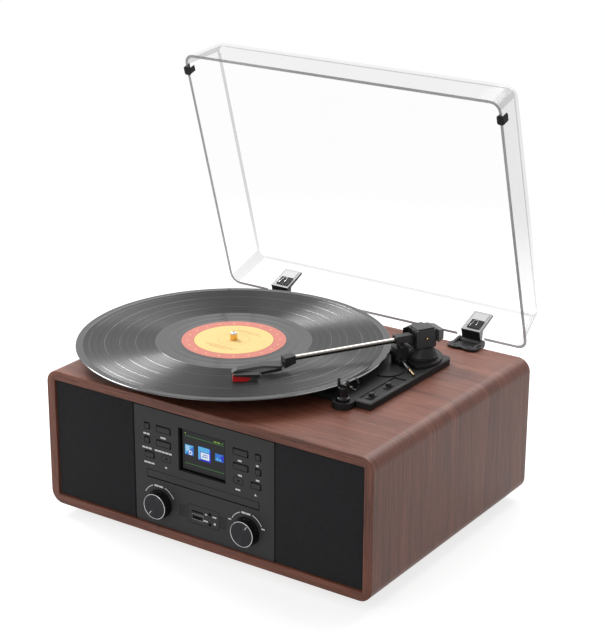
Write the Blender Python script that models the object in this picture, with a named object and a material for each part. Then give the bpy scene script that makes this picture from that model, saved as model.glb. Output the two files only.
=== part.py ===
"""Compact record player with radio, disc drawer and built-in speakers.

Lengths are metres, +Z is up and the front faces -Y. The cabinet's own frame has x = 0 at the middle
of the cabinet, y = 0 at its front edge and z = 0 on the table. Everything hangs from one empty that
moves that frame so that the world origin lies on the table, under the middle of the whole object.
"""
import math

import bmesh
import bpy
from mathutils import Matrix

# Gaps and cuts
SEAT_GAP = 0.0003
RUNNING_GAP = 0.0004
CUT_OVERRUN = 0.004
ROUND_STEPS = 32
SMALL_ROUND_STEPS = 20
CORNER_STEPS = 4
LID_ROUND_STEPS = 3

# Cabinet: a veneered board wrapped round the four sides
CABINET_WIDTH = 0.364
CABINET_DEPTH = 0.282
CABINET_HEIGHT = 0.137
CABINET_WALL = 0.0093
CABINET_CORNER = 0.013
CABINET_INNER_CORNER = 0.0015
FOOT_HEIGHT = 0.010
FOOT_RADIUS = 0.012
FOOT_TIP_RADIUS = 0.010
FOOT_INSET = 0.032

# Front moulding, grilles and speakers
FRONT_RECESS = 0.002
FACE_WIDTH = 0.1578
FACE_WALL = 0.003
FACE_SIDE_WALL = 0.002
GRILLE_THICKNESS = 0.0042
GRILLE_CORNER = 0.0015
BAFFLE_THICKNESS = 0.0035
SPEAKER_OPENING = 0.034
SPEAKER_FLANGE = 0.040
SPEAKER_FLANGE_THICKNESS = 0.003
SPEAKER_CONE_DEPTH = 0.020
SPEAKER_MAGNET_RADIUS = 0.022
SPEAKER_MAGNET_DEPTH = 0.012
REAR_PANEL_RECESS = 0.003
REAR_PANEL_THICKNESS = 0.004

# Control face: button rows, display window, drawer, knobs and sockets
CONTROL_MIDDLE_X = -0.001
BUTTON_PITCH_SHARE = 0.3318
BUTTON_HEIGHT = 0.0062
BUTTON_CORNER = 0.0008
BUTTON_FLANGE = 0.0007
BUTTON_FLANGE_THICKNESS = 0.001
BUTTON_TRAVEL = 0.001
BUTTON_STEM_RADIUS = 0.0012
NARROW_BUTTON = 0.0062
WIDE_BUTTON = 0.0165
MEDIUM_BUTTON = 0.0108
SQUARE_BUTTON = 0.0100
NARROW_BUTTON_X = 0.0624
WIDE_BUTTON_X = 0.0434
MEDIUM_BUTTON_X = 0.0600
SQUARE_BUTTON_X = 0.0407
DISPLAY_WIDTH = 0.053
DISPLAY_TOP_MARGIN = 0.01325
DISPLAY_DRAWER_MARGIN = 0.0082
DISPLAY_RIM = 0.003
DISPLAY_DEPTH = 0.0042
DRAWER_WIDTH = 0.1265
DRAWER_HEIGHT = 0.0075
DRAWER_LEVEL_SHARE = 0.4282
DRAWER_LENGTH = 0.132
DRAWER_FRONT_THICKNESS = 0.003
DRAWER_TRAY_THICKNESS = 0.0055
DRAWER_TRAVEL = 0.120
DISC_RECESS_RADIUS = 0.0604
DISC_RECESS_DEPTH = 0.0018
DISC_HUB_HOLE_RADIUS = 0.017
DRIVE_WALL = 0.003
DRIVE_TOP_DEPTH = 0.012
DRIVE_LENGTH = 0.142
DRIVE_EAR = 0.008
DRIVE_EAR_THICKNESS = 0.002
KNOB_RADIUS = 0.0124
KNOB_SKIRT_RADIUS = 0.0138
KNOB_HEIGHT = 0.0086
KNOB_EDGE = 0.0008
KNOB_FACE_RECESS = 0.0004
KNOB_SHAFT_RADIUS = 0.003
KNOB_X = 0.0495
KNOB_ABOVE_WALL = 0.0226
KNOB_FACE_GAP = 0.0006
SOCKET_PLATE_WIDTH = 0.035
SOCKET_PLATE_HEIGHT = 0.018
SOCKET_ABOVE_KNOBS = 0.0003
SOCKET_PLATE_CORNER = 0.002
SOCKET_FLANGE = 0.001
USB_WIDTH = 0.0131
USB_HEIGHT = 0.0056
USB_X = -0.0069
USB_BELOW_MIDDLE = 0.0025
USB_DEPTH = 0.0068
CARD_SLOT_HEIGHT = 0.0014
CARD_SLOT_ABOVE_MIDDLE = 0.0030
CARD_SLOT_DEPTH = 0.003
JACK_X = 0.0073
UPPER_JACK_ABOVE_MIDDLE = 0.0046
LOWER_JACK_BELOW_MIDDLE = 0.0059
JACK_RADIUS = 0.0018
JACK_DEPTH = 0.006

# Boards behind the face
BOARD_THICKNESS = 0.0016
CONTROL_BOARD_MARGIN = 0.0045
CONTROL_BOARD_Y = 0.0104
ENCODER_SIZE = 0.012
ENCODER_DEPTH = 0.0015
BOARD_DRAWER_GAP = 0.0012
MAIN_BOARD_WIDTH = 0.120
MAIN_BOARD_DEPTH = 0.090
MAIN_BOARD_BACK_GAP = 0.0008
MAIN_BOARD_STAND = 0.006
HEAT_SINK = (0.040, 0.010, 0.026)
INLET_BLOCK = 0.011
INLET_RADIUS = 0.0032
INLET_DEPTH = 0.008
INLET_ABOVE_WALL = 0.0127
PILLAR_RADIUS = 0.003

# Deck, platter and record
SPINDLE_X = -0.0562
SPINDLE_Y = 0.127
SPINDLE_RADIUS = 0.0035
SPINDLE_ABOVE_RECORD = 0.0078
SPINDLE_TIP = 0.0015
DECK_THICKNESS = 0.0060
DECK_LEDGE_HEIGHT = 0.0057
DECK_LEDGE = 0.0012
DECK_DISC_RADIUS = 0.0955
DECK_ARM_LEFT = 0.012
DECK_ARM_RIGHT = 0.1234
DECK_ARM_FRONT = 0.0875
DECK_ARM_BACK = 0.2315
DECK_ARM_CORNER = 0.008
DECK_ARM_FLARE = 0.0020
WELL_RADIUS = 0.086
WELL_WALL = 0.0025
WELL_DEPTH = 0.0205
WELL_CUT_GAP = 0.001
BEARING_RADIUS = 0.008
BEARING_HEIGHT = 0.010
MOTOR_RADIUS = 0.0165
MOTOR_HEIGHT = 0.022
MOTOR_ANGLE = 135.0
PULLEY_RADIUS = 0.0065
PULLEY_FLANGE = 0.0012
PULLEY_HEIGHT = 0.0085
PULLEY_SHAFT_RADIUS = 0.0012
PULLEY_FLOOR_GAP = 0.0015
BELT_THICKNESS = 0.0007
BELT_WIDTH = 0.005
BELT_RADIUS = 0.062
BELT_RUN = 0.0046
PLATTER_RADIUS = 0.098
PLATTER_TOP_THICKNESS = 0.003
PLATTER_SKIRT = 0.0028
PLATTER_SKIRT_HEIGHT = 0.0062
PLATTER_RING_THICKNESS = 0.004
PLATTER_DECK_GAP = 0.0009
MAT_RADIUS = 0.095
MAT_THICKNESS = 0.0012
RECORD_RADIUS = 0.1505
RECORD_THICKNESS = 0.0016
RECORD_ABOVE_CABINET = 0.017

# Tonearm, measured along the arm from its pivot and up from the record's top face
ARM_PIVOT_X = 0.104
ARM_PIVOT_Y = 0.209
ARM_ANGLE = 29.7
ARM_AXIS_HEIGHT = 0.0133
ARM_BASE_RADIUS = 0.031
ARM_BASE_SHIFT = (-0.0085, 0.0083)
ARM_BASE_CUT = 0.0185
ARM_BASE_STEP = 0.0026
ARM_BASE_UPPER_RADIUS = 0.0155
ARM_COLUMN_RADIUS = 0.0105
ARM_COLUMN_FOOT_RADIUS = 0.0142
YOKE_FRONT = 0.011
YOKE_BACK = 0.010
YOKE_HALF_WIDTH = 0.009
YOKE_BOTTOM = 0.004
YOKE_TOP = 0.0213
YOKE_CHEEK = 0.0038
YOKE_FLOOR = 0.0026
YOKE_ROOF = 0.0030
YOKE_CAP_INSET = 0.0015
YOKE_CAP_HEIGHT = 0.0012
WING_WIDTH = 0.0068
WING_FRONT = 0.0165
WING_SIDE_BACK = 0.0075
WING_SIDE_FRONT = 0.001
WING_BOTTOM = 0.0108
WING_ROOF_STEP = 0.0006
CARRIER_HALF_WIDTH = 0.0046
CARRIER_BOTTOM = 0.0092
CARRIER_TOP = 0.0164
SLEEVE_FRONT = 0.030
SLEEVE_BACK = 0.0125
SLEEVE_HALF_WIDTH = 0.0040
SLEEVE_BOTTOM = 0.0102
SLEEVE_TOP = 0.0176
PIVOT_PIN_RADIUS = 0.0013
PIVOT_SCREW_RADIUS = 0.0017
PIVOT_SCREW_STAND = 0.0004
TUBE_RADIUS = 0.0025
TUBE_SEAT = 0.005
COUNTERWEIGHT_FRONT = 0.0110
COUNTERWEIGHT_LENGTH = 0.0072
COUNTERWEIGHT_HALF_WIDTH = 0.0122
COUNTERWEIGHT_BOTTOM = 0.0088
COUNTERWEIGHT_TOP = 0.0211
COUNTERWEIGHT_SIDE_TAPER = 0.0036
COUNTERWEIGHT_ROOF_TAPER = 0.0012
COUNTERWEIGHT_FLOOR_TAPER = 0.0017
STUB_RADIUS = 0.0028
STUB_SEAT = 0.005
COLLAR_BACK = 0.1345
COLLAR_FRONT = 0.1455
COLLAR_HALF_WIDTH = 0.0045
COLLAR_TOP = 0.0168
COLLAR_BOTTOM_BACK = 0.0095
COLLAR_BOTTOM_FRONT = 0.0062
SHELL_TOP = 0.0105
SHELL_BOTTOM = 0.0084
SHELL_NOSE_DROP = 0.0030
SHELL_REACH = 0.1960
LIFT_BLADE_LENGTH = 0.020
LIFT_BLADE_THICKNESS = 0.0012
LIFT_BLADE_HEIGHT = 0.0026
LIFT_BLADE_BOTTOM = 0.0056
LIFT_BLADE_OFFSET = 0.0058
CARTRIDGE_TURN = 21.0
CARTRIDGE_LENGTH = 0.024
CARTRIDGE_HALF_WIDTH = 0.0048
CARTRIDGE_BOTTOM = 0.0042
GUARD_SETBACK = 0.0008
GUARD_SIDE = -0.0012
GUARD_LENGTH = 0.0178
GUARD_HALF_WIDTH = 0.0033
GUARD_BOTTOM = 0.0009
GUARD_FRONT_TOP = 0.0064
GUARD_BACK_TOP = 0.0047
NEEDLE_BACK = 0.0062
NEEDLE_RADIUS = 0.0004
NEEDLE_CLEARANCE = 0.0003

# Cue lift, arm rest and the two slide switches
LIFT_RADIUS = 0.0235
LIFT_BAR_HALF_DEPTH = 0.0020
LIFT_BAR_TOP = 0.0096
LIFT_BAR_THICKNESS = 0.0022
LIFT_BAR_SPAN = (-20.0, 31.0)
LIFT_POST_RADIUS = 0.0020
LIFT_POST_LENGTH = 0.0100
LIFT_TRAVEL = 0.0016
TOWER_FRONT = 0.0285
TOWER_BACK = 0.0150
TOWER_NEAR = 0.0015
TOWER_FAR = 0.0085
TOWER_TOP = 0.0052
CUE_LEVER_ALONG = 0.0232
CUE_LEVER_SIDE = 0.0050
CUE_LEVER_LIFT = 0.0032
CUE_LEVER_LENGTH = 0.031
CUE_LEVER_TURN = 9.5
CUE_LEVER_DROP = 0.0016
CUE_LEVER_RADIUS = 0.0011
CUE_LEVER_GRIP = 0.018
CUE_LEVER_GRIP_RADIUS = 0.0018
CUE_HUB_RADIUS = 0.0024
CUE_HUB_LENGTH = 0.0040
CUE_PIN_RADIUS = 0.0010
REST_DISTANCE = 0.1267
REST_ANGLE = 2.94
REST_BOSS_RADIUS = 0.0102
REST_RING_RADIUS = 0.0066
REST_RING_HEIGHT = 0.0030
REST_POST_RADIUS = 0.0048
REST_POST_TOP = 0.0190
REST_FORK_HALF_WIDTH = 0.0062
REST_FORK_HALF_DEPTH = 0.0026
REST_FORK_TOP = 0.0266
REST_SADDLE = 0.0218
REST_SLOT_HALF_WIDTH = 0.0034
CLIP_HUB_X = 0.0082
CLIP_HUB_Z = 0.0196
CLIP_HUB_RADIUS = 0.0014
CLIP_PIN_RADIUS = 0.0006
CLIP_ARM = 0.0080
CLIP_FINGER = 0.0108
CLIP_BAR = 0.0016
CLIP_HALF_DEPTH = 0.0014
SWITCH_X = 0.1135
SWITCH_Y = (0.105, 0.134)
SWITCH_TROUGH_X = (0.1062, 0.1200)
SWITCH_TROUGH_Y = (0.0950, 0.1560)
SWITCH_TROUGH_DEPTH = 0.0010
SWITCH_BASE_WIDTH = 0.0052
SWITCH_BASE_LENGTH = 0.0120
SWITCH_BASE_HEIGHT = 0.0007
SWITCH_KNOB = 0.0046
SWITCH_KNOB_HEIGHT = 0.0042
PAD_X = 0.0980
PAD_Y = 0.1620
PAD_LENGTH = 0.028
PAD_WIDTH = 0.019
PAD_HEIGHT = 0.0012

# Lid and its hinges, drawn closed about the hinge axis and then opened
HINGE_BEHIND_CABINET = 0.005
HINGE_Y = CABINET_DEPTH + HINGE_BEHIND_CABINET
HINGE_ABOVE_CABINET = 0.0015
HINGE_X = 0.1135
LID_OPEN_ANGLE = 73.5
LID_WIDTH = 0.3516
LID_SHORTER_THAN_CABINET = 0.013
LID_DEPTH = CABINET_DEPTH - LID_SHORTER_THAN_CABINET
LID_HEIGHT = 0.0454
LID_INSET = 0.0066
LID_WALL = 0.003
LID_CORNER = 0.011
LID_TOP_ROUND = 0.005
LID_RIM_ABOVE_AXIS = 0.001
LID_BACK_FROM_AXIS = 0.005
NOTCH_WIDTH = 0.030
NOTCH_HEIGHT = 0.010
HINGE_BARREL_RADIUS = 0.0042
HINGE_PIN_RADIUS = 0.0016
HINGE_ARM_WIDTH = 0.0205
HINGE_EAR_WIDTH = 0.0034
HINGE_FOOT_WIDTH = 0.034
HINGE_FOOT_DEPTH = 0.019
HINGE_FOOT_THICKNESS = 0.0024
HINGE_ARM_THICKNESS = 0.0022
HINGE_ARM_LENGTH = 0.034
BUMPER_FROM_FRONT = 0.018
BUMPER_LENGTH = 0.009
BUMPER_DEPTH = 0.0085
BUMPER_FLOOR = 0.0018
BUMPER_HALF_WIDTH = 0.0036

# Levels that follow from the sizes above
TOP_Z = FOOT_HEIGHT + CABINET_HEIGHT
INNER_BOTTOM = FOOT_HEIGHT + CABINET_WALL
INNER_TOP = TOP_Z - CABINET_WALL
INNER_HALF_WIDTH = CABINET_WIDTH / 2 - CABINET_WALL
KNOB_Z = INNER_BOTTOM + KNOB_ABOVE_WALL
SOCKET_PLATE_Z = KNOB_Z + SOCKET_ABOVE_KNOBS
USB_Z = SOCKET_PLATE_Z - USB_BELOW_MIDDLE
CARD_SLOT_Z = SOCKET_PLATE_Z + CARD_SLOT_ABOVE_MIDDLE
JACK_Z = (SOCKET_PLATE_Z + UPPER_JACK_ABOVE_MIDDLE, SOCKET_PLATE_Z - LOWER_JACK_BELOW_MIDDLE)
INLET_Z = INNER_BOTTOM + INLET_ABOVE_WALL
DRAWER_Z = INNER_BOTTOM + DRAWER_LEVEL_SHARE * (INNER_TOP - INNER_BOTTOM)
DISPLAY_TOP = INNER_TOP - DISPLAY_TOP_MARGIN
DISPLAY_BOTTOM = DRAWER_Z + DRAWER_HEIGHT / 2 + DISPLAY_DRAWER_MARGIN
DISPLAY_HEIGHT = DISPLAY_TOP - DISPLAY_BOTTOM
DISPLAY_Z = (DISPLAY_TOP + DISPLAY_BOTTOM) / 2
BUTTON_PITCH = BUTTON_PITCH_SHARE * DISPLAY_HEIGHT
GRILLE_BACK = FRONT_RECESS + GRILLE_THICKNESS
BAFFLE_FRONT = GRILLE_BACK + SEAT_GAP
BAFFLE_BACK = BAFFLE_FRONT + BAFFLE_THICKNESS
FACE_BACK = FRONT_RECESS + FACE_WALL
DECK_BOTTOM = TOP_Z + SEAT_GAP
DECK_TOP = DECK_BOTTOM + DECK_THICKNESS
WELL_FLOOR = DECK_TOP - WELL_DEPTH
WELL_UNDERSIDE = WELL_FLOOR - WELL_WALL
RECORD_TOP_Z = TOP_Z + RECORD_ABOVE_CABINET
RECORD_BOTTOM = RECORD_TOP_Z - RECORD_THICKNESS
MAT_TOP = RECORD_BOTTOM - SEAT_GAP
MAT_BOTTOM = MAT_TOP - MAT_THICKNESS
PLATTER_TOP = MAT_BOTTOM - SEAT_GAP
AXIS_Z = RECORD_TOP_Z + ARM_AXIS_HEIGHT
GUARD_FRONT = SHELL_REACH - GUARD_SETBACK
HINGE_Z = TOP_Z + HINGE_ABOVE_CABINET
LID_DRAFT_SHARE = LID_INSET / LID_HEIGHT


def finish(name, colour, roughness, metallic=0.0):
    """One plain material, in the colour that the piece has."""
    material = bpy.data.materials.new(name)
    material.use_nodes = True
    shader = material.node_tree.nodes["Principled BSDF"]
    shader.inputs["Base Color"].default_value = (*colour, 1.0)
    shader.inputs["Roughness"].default_value = roughness
    shader.inputs["Metallic"].default_value = metallic
    material.diffuse_color = (*colour, 1.0)
    return material


def solid(name, sections, axis="Z"):
    """A closed body from outlines of equal point count, each an (outline, level) pair along the axis."""
    turn = {"Z": lambda a, b, level: (a, b, level),
            "Y": lambda a, b, level: (a, level, b),
            "X": lambda a, b, level: (level, a, b)}[axis]
    mesh_data = bmesh.new()
    rings = [[mesh_data.verts.new(turn(a, b, level)) for a, b in outline] for outline, level in sections]
    mesh_data.faces.new(rings[0])
    mesh_data.faces.new(rings[-1])
    for lower, upper in zip(rings, rings[1:]):
        for start, end in zip(range(-1, len(lower) - 1), range(len(lower))):
            mesh_data.faces.new((lower[start], lower[end], upper[end], upper[start]))
    bmesh.ops.recalc_face_normals(mesh_data, faces=mesh_data.faces)
    mesh = bpy.data.meshes.new(name)
    mesh_data.to_mesh(mesh)
    mesh_data.free()
    body = bpy.data.objects.new(name, mesh)
    bpy.context.scene.collection.objects.link(body)
    return body


def circle(radius, centre=(0.0, 0.0), steps=ROUND_STEPS):
    """Points round a circle."""
    turns = [2 * math.pi * step / steps for step in range(steps)]
    return [(centre[0] + radius * math.cos(turn), centre[1] + radius * math.sin(turn)) for turn in turns]


def rounded_box(half_width, half_height, corner, centre=(0.0, 0.0), steps=CORNER_STEPS):
    """Points round a rectangle with round corners."""
    points = []
    for quarter, (side_a, side_b) in enumerate(((1, 1), (-1, 1), (-1, -1), (1, -1))):
        middle_a = centre[0] + side_a * (half_width - corner)
        middle_b = centre[1] + side_b * (half_height - corner)
        for step in range(steps + 1):
            angle = math.pi / 2 * (quarter + step / steps)
            points.append((middle_a + corner * math.cos(angle), middle_b + corner * math.sin(angle)))
    return points


def rectangle(low_a, high_a, low_b, high_b):
    """The four corners of a plain rectangle."""
    return [(low_a, low_b), (high_a, low_b), (high_a, high_b), (low_a, high_b)]


def oblong(width, height, centre=(0.0, 0.0)):
    """The four corners of a rectangle about its middle."""
    middle_a, middle_b = centre
    return rectangle(middle_a - width / 2, middle_a + width / 2, middle_b - height / 2, middle_b + height / 2)


def prism(name, outline, low, high, axis="Z"):
    """One outline drawn straight from one level to another."""
    return solid(name, [(outline, low), (outline, high)], axis)


def turned(name, profile, centre=(0.0, 0.0), axis="Z", steps=ROUND_STEPS):
    """A round body from (radius, level) pairs."""
    return solid(name, [(circle(radius, centre, steps), level) for radius, level in profile], axis)


def combine(body, tool, operation):
    """Join a tool to a body, or cut it out, and keep the finished mesh."""
    modifier = body.modifiers.new(operation.title(), "BOOLEAN")
    modifier.operation = operation
    modifier.object = tool
    view = bpy.context.evaluated_depsgraph_get()
    mesh = bpy.data.meshes.new_from_object(body.evaluated_get(view))
    body.modifiers.clear()
    body.data = mesh
    bpy.data.objects.remove(tool)
    return body


def join(body, *tools):
    """Add solids to a body."""
    for tool in tools:
        combine(body, tool, "UNION")
    return body


def cut(body, *tools):
    """Take solids out of a body."""
    for tool in tools:
        combine(body, tool, "DIFFERENCE")
    return body


def pierce(body, outline, low, high, axis="Z"):
    """Cut an outline through a body from one face to the other."""
    return cut(body, prism("opening", outline, low - CUT_OVERRUN, high + CUT_OVERRUN, axis))


def frame_empty(name, parent, location, turn=None):
    """An empty that carries one frame: the whole object, or a moving group on its axis."""
    empty = bpy.data.objects.new(name, None)
    bpy.context.scene.collection.objects.link(empty)
    empty.parent = parent
    empty.matrix_local = Matrix.Translation(location) @ (turn or Matrix.Identity(4))
    return empty


def settle(body, parent, material, rounded=False):
    """Give a finished body its material, its shading and the frame that it was drawn in."""
    body.data.materials.clear()
    body.data.materials.append(material)
    if rounded:
        body.data.shade_smooth()
        body.data.set_sharp_from_angle(angle=math.radians(35))
    body.parent = parent
    return body


def moved(body, offset):
    """Shift a body's mesh, so that it is drawn about another point."""
    body.data.transform(Matrix.Translation(offset))
    return body


def turned_about_z(body, degrees):
    """Turn a body's mesh about the vertical through its frame's origin."""
    body.data.transform(Matrix.Rotation(math.radians(degrees), 4, "Z"))
    return body


def clear_scene():
    """Remove whatever the file holds."""
    for item in list(bpy.data.objects):
        bpy.data.objects.remove(item)


def lid_edge(offset, low):
    """How far the lid's side has drawn in, and its level, from the rim to the top's rounded edge."""
    radius = LID_TOP_ROUND - offset
    start = LID_RIM_ABOVE_AXIS + LID_HEIGHT - LID_TOP_ROUND
    edge = [(0.0, low)]
    for step in range(LID_ROUND_STEPS + 1):
        turn = math.pi / 2 * step / LID_ROUND_STEPS
        edge.append((radius * (1 - math.cos(turn)), start + radius * math.sin(turn)))
    return [(offset + (level - LID_RIM_ABOVE_AXIS) * LID_DRAFT_SHARE + pull, level) for pull, level in edge]


def lid_reach():
    """How far behind the cabinet's front edge the open lid reaches."""
    angle = math.radians(LID_OPEN_ANGLE)
    return HINGE_Y + max(level * math.sin(angle) - (LID_BACK_FROM_AXIS + shrink) * math.cos(angle)
                         for shrink, level in lid_edge(0.0, LID_RIM_ABOVE_AXIS))


def cabinet_shell(parent):
    """The four-sided wooden wrap, open at front and back, with the round hole for the platter's well."""
    middle = (0.0, FOOT_HEIGHT + CABINET_HEIGHT / 2)
    outer = rounded_box(CABINET_WIDTH / 2, CABINET_HEIGHT / 2, CABINET_CORNER, middle, steps=8)
    inner = rounded_box(INNER_HALF_WIDTH, CABINET_HEIGHT / 2 - CABINET_WALL, CABINET_INNER_CORNER, middle)
    shell = prism("cabinet_shell", outer, 0.0, CABINET_DEPTH, "Y")
    hollow = prism("hollow", inner, -CUT_OVERRUN, CABINET_DEPTH + CUT_OVERRUN, "Y")
    hole = circle(WELL_RADIUS + WELL_WALL + WELL_CUT_GAP, (SPINDLE_X, SPINDLE_Y), 64)
    well_hole = prism("well_hole", hole, INNER_TOP - CUT_OVERRUN, TOP_Z + CUT_OVERRUN)
    cut(shell, hollow, well_hole)
    settle(shell, parent, finish("walnut_veneer", (0.20, 0.075, 0.042), 0.5), rounded=True)


def feet(parent):
    """Four short rubber feet under the corners."""
    rubber = finish("foot_rubber", (0.02, 0.02, 0.02), 0.8)
    for side, side_name in ((-1, "left"), (1, "right")):
        for end, end_name in ((FOOT_INSET, "front"), (CABINET_DEPTH - FOOT_INSET, "back")):
            profile = [(FOOT_TIP_RADIUS, 0.0), (FOOT_RADIUS, FOOT_HEIGHT - SEAT_GAP)]
            centre = (side * (CABINET_WIDTH / 2 - FOOT_INSET), end)
            foot = turned(f"foot_{end_name}_{side_name}", profile, centre, steps=SMALL_ROUND_STEPS)
            settle(foot, parent, rubber, rounded=True)


def rear_panel(parent):
    """The back board, with the round hole for the mains adaptor's plug."""
    back = CABINET_DEPTH - REAR_PANEL_RECESS
    outline = rounded_box(INNER_HALF_WIDTH - SEAT_GAP, CABINET_HEIGHT / 2 - CABINET_WALL - SEAT_GAP,
                          CABINET_INNER_CORNER, (0.0, FOOT_HEIGHT + CABINET_HEIGHT / 2))
    panel = prism("rear_panel", outline, back - REAR_PANEL_THICKNESS, back, "Y")
    inlet = circle(INLET_RADIUS, (0.0, INLET_Z), SMALL_ROUND_STEPS)
    pierce(panel, inlet, back - REAR_PANEL_THICKNESS, back, "Y")
    settle(panel, parent, finish("rear_board", (0.03, 0.028, 0.027), 0.7))


def button_places():
    """Name, width, middle and row of each of the twelve buttons."""
    places = []
    for side, side_name in ((-1, "left"), (1, "right")):
        columns = ((f"narrow_{side_name}", NARROW_BUTTON, NARROW_BUTTON_X, (0, 1)),
                   (f"wide_{side_name}", WIDE_BUTTON, WIDE_BUTTON_X, (0, 1)),
                   (f"outer_{side_name}", MEDIUM_BUTTON, MEDIUM_BUTTON_X, (2,)),
                   (f"dimple_{side_name}", SQUARE_BUTTON, SQUARE_BUTTON_X, (2,)))
        for name, width, distance, rows in columns:
            for row in rows:
                label = f"button_{name}_{row + 1}"
                middle = (CONTROL_MIDDLE_X + side * distance, DISPLAY_Z + (1 - row) * BUTTON_PITCH)
                places.append((label, width, middle))
    return places


def front_panel(parent):
    """The black moulding that fills the front: baffle, speaker openings and the raised control face."""
    middle = (0.0, FOOT_HEIGHT + CABINET_HEIGHT / 2)
    half_height = CABINET_HEIGHT / 2 - CABINET_WALL - SEAT_GAP
    plate = rounded_box(INNER_HALF_WIDTH - SEAT_GAP, half_height, CABINET_INNER_CORNER, middle)
    face = rounded_box(FACE_WIDTH / 2, half_height, CABINET_INNER_CORNER, middle)
    pocket = rounded_box(FACE_WIDTH / 2 - FACE_SIDE_WALL, half_height - FACE_SIDE_WALL,
                         CABINET_INNER_CORNER, middle)
    panel = prism("front_panel", plate, BAFFLE_FRONT, BAFFLE_BACK, "Y")
    join(panel, prism("face", face, FRONT_RECESS, BAFFLE_BACK - SEAT_GAP, "Y"))
    cut(panel, prism("pocket", pocket, FACE_BACK, BAFFLE_BACK + CUT_OVERRUN, "Y"))
    for side in (-1, 1):
        speaker = circle(SPEAKER_OPENING, (side * speaker_x(), middle[1]))
        shaft = circle(KNOB_SHAFT_RADIUS + RUNNING_GAP, (CONTROL_MIDDLE_X + side * KNOB_X, KNOB_Z), 16)
        pierce(panel, speaker, BAFFLE_FRONT, BAFFLE_BACK, "Y")
        pierce(panel, shaft, FRONT_RECESS, FACE_BACK, "Y")
    for label, width, place in button_places():
        opening = rounded_box(width / 2 + RUNNING_GAP, BUTTON_HEIGHT / 2 + RUNNING_GAP,
                              BUTTON_CORNER + RUNNING_GAP, place, steps=2)
        pierce(panel, opening, FRONT_RECESS, FACE_BACK, "Y")
    window = oblong(DISPLAY_WIDTH, DISPLAY_HEIGHT, (CONTROL_MIDDLE_X, DISPLAY_Z))
    drawer = rounded_box(DRAWER_WIDTH / 2 + RUNNING_GAP, DRAWER_HEIGHT / 2 + RUNNING_GAP, BUTTON_CORNER,
                         (CONTROL_MIDDLE_X, DRAWER_Z), steps=2)
    sockets = rounded_box(SOCKET_PLATE_WIDTH / 2 + SEAT_GAP, SOCKET_PLATE_HEIGHT / 2 + SEAT_GAP,
                          SOCKET_PLATE_CORNER, (0.0, SOCKET_PLATE_Z), steps=2)
    for opening in (window, drawer, sockets):
        pierce(panel, opening, FRONT_RECESS, FACE_BACK, "Y")
    settle(panel, parent, finish("face_plastic", (0.045, 0.046, 0.047), 0.55), rounded=True)


def speaker_x():
    """Middle of the strip between the control face and the cabinet's side."""
    return (FACE_WIDTH / 2 + INNER_HALF_WIDTH) / 2


def grilles_and_speakers(parent):
    """A cloth-covered frame over each speaker, and the speaker behind the baffle."""
    cloth = finish("grille_cloth", (0.018, 0.019, 0.020), 0.95)
    black = finish("speaker_basket", (0.03, 0.03, 0.03), 0.5)
    middle_z = FOOT_HEIGHT + CABINET_HEIGHT / 2
    half_width = (INNER_HALF_WIDTH - FACE_WIDTH / 2) / 2 - SEAT_GAP
    half_height = CABINET_HEIGHT / 2 - CABINET_WALL - SEAT_GAP
    flange_back = BAFFLE_BACK + SEAT_GAP + SPEAKER_FLANGE_THICKNESS
    cone_back = flange_back + SPEAKER_CONE_DEPTH
    profile = [(SPEAKER_FLANGE, BAFFLE_BACK + SEAT_GAP), (SPEAKER_FLANGE, flange_back),
               (SPEAKER_OPENING, flange_back), (SPEAKER_MAGNET_RADIUS, cone_back),
               (SPEAKER_MAGNET_RADIUS, cone_back + SPEAKER_MAGNET_DEPTH)]
    for side, side_name in ((-1, "left"), (1, "right")):
        centre = (side * speaker_x(), middle_z)
        outline = rounded_box(half_width, half_height, GRILLE_CORNER, centre)
        settle(prism(f"grille_{side_name}", outline, FRONT_RECESS, GRILLE_BACK, "Y"), parent, cloth)
        settle(turned(f"speaker_{side_name}", profile, centre, "Y"), parent, black, rounded=True)


def buttons(parent):
    """Twelve push buttons: a cap in the face, a flange behind it and a stem to its switch."""
    black = finish("button_plastic", (0.040, 0.041, 0.042), 0.5)
    flange_front = FACE_BACK + SEAT_GAP
    flange_back = flange_front + BUTTON_FLANGE_THICKNESS
    stem_end = CONTROL_BOARD_Y - BUTTON_TRAVEL - SEAT_GAP
    for label, width, (x, z) in button_places():
        cap = rounded_box(width / 2, BUTTON_HEIGHT / 2, BUTTON_CORNER, steps=2)
        flange = rounded_box(width / 2 + BUTTON_FLANGE, BUTTON_HEIGHT / 2 + BUTTON_FLANGE,
                             BUTTON_CORNER, steps=2)
        stem = rounded_box(BUTTON_STEM_RADIUS, BUTTON_STEM_RADIUS, BUTTON_STEM_RADIUS / 2, steps=2)
        button = solid(label, [(cap, FRONT_RECESS), (cap, flange_front), (flange, flange_front),
                               (flange, flange_back), (stem, flange_back), (stem, stem_end)], "Y")
        if "dimple" in label:
            dimple = circle(BUTTON_STEM_RADIUS, steps=12)
            depth = FRONT_RECESS + BUTTON_FLANGE_THICKNESS
            cut(button, prism("dimple", dimple, FRONT_RECESS - CUT_OVERRUN, depth, "Y"))
        moved(button, (0.0, -FRONT_RECESS, 0.0))
        carrier = frame_empty(f"{label}_press", parent, (x, FRONT_RECESS, z))
        settle(button, carrier, black)


def display(parent):
    """The colour screen's flat module, behind the window in the face."""
    outline = oblong(DISPLAY_WIDTH + 2 * DISPLAY_RIM, DISPLAY_HEIGHT + 2 * DISPLAY_RIM,
                     (CONTROL_MIDDLE_X, DISPLAY_Z))
    front = FACE_BACK + SEAT_GAP
    screen = prism("display", outline, front, front + DISPLAY_DEPTH, "Y")
    settle(screen, parent, finish("screen_glass", (0.02, 0.03, 0.06), 0.1))


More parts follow.
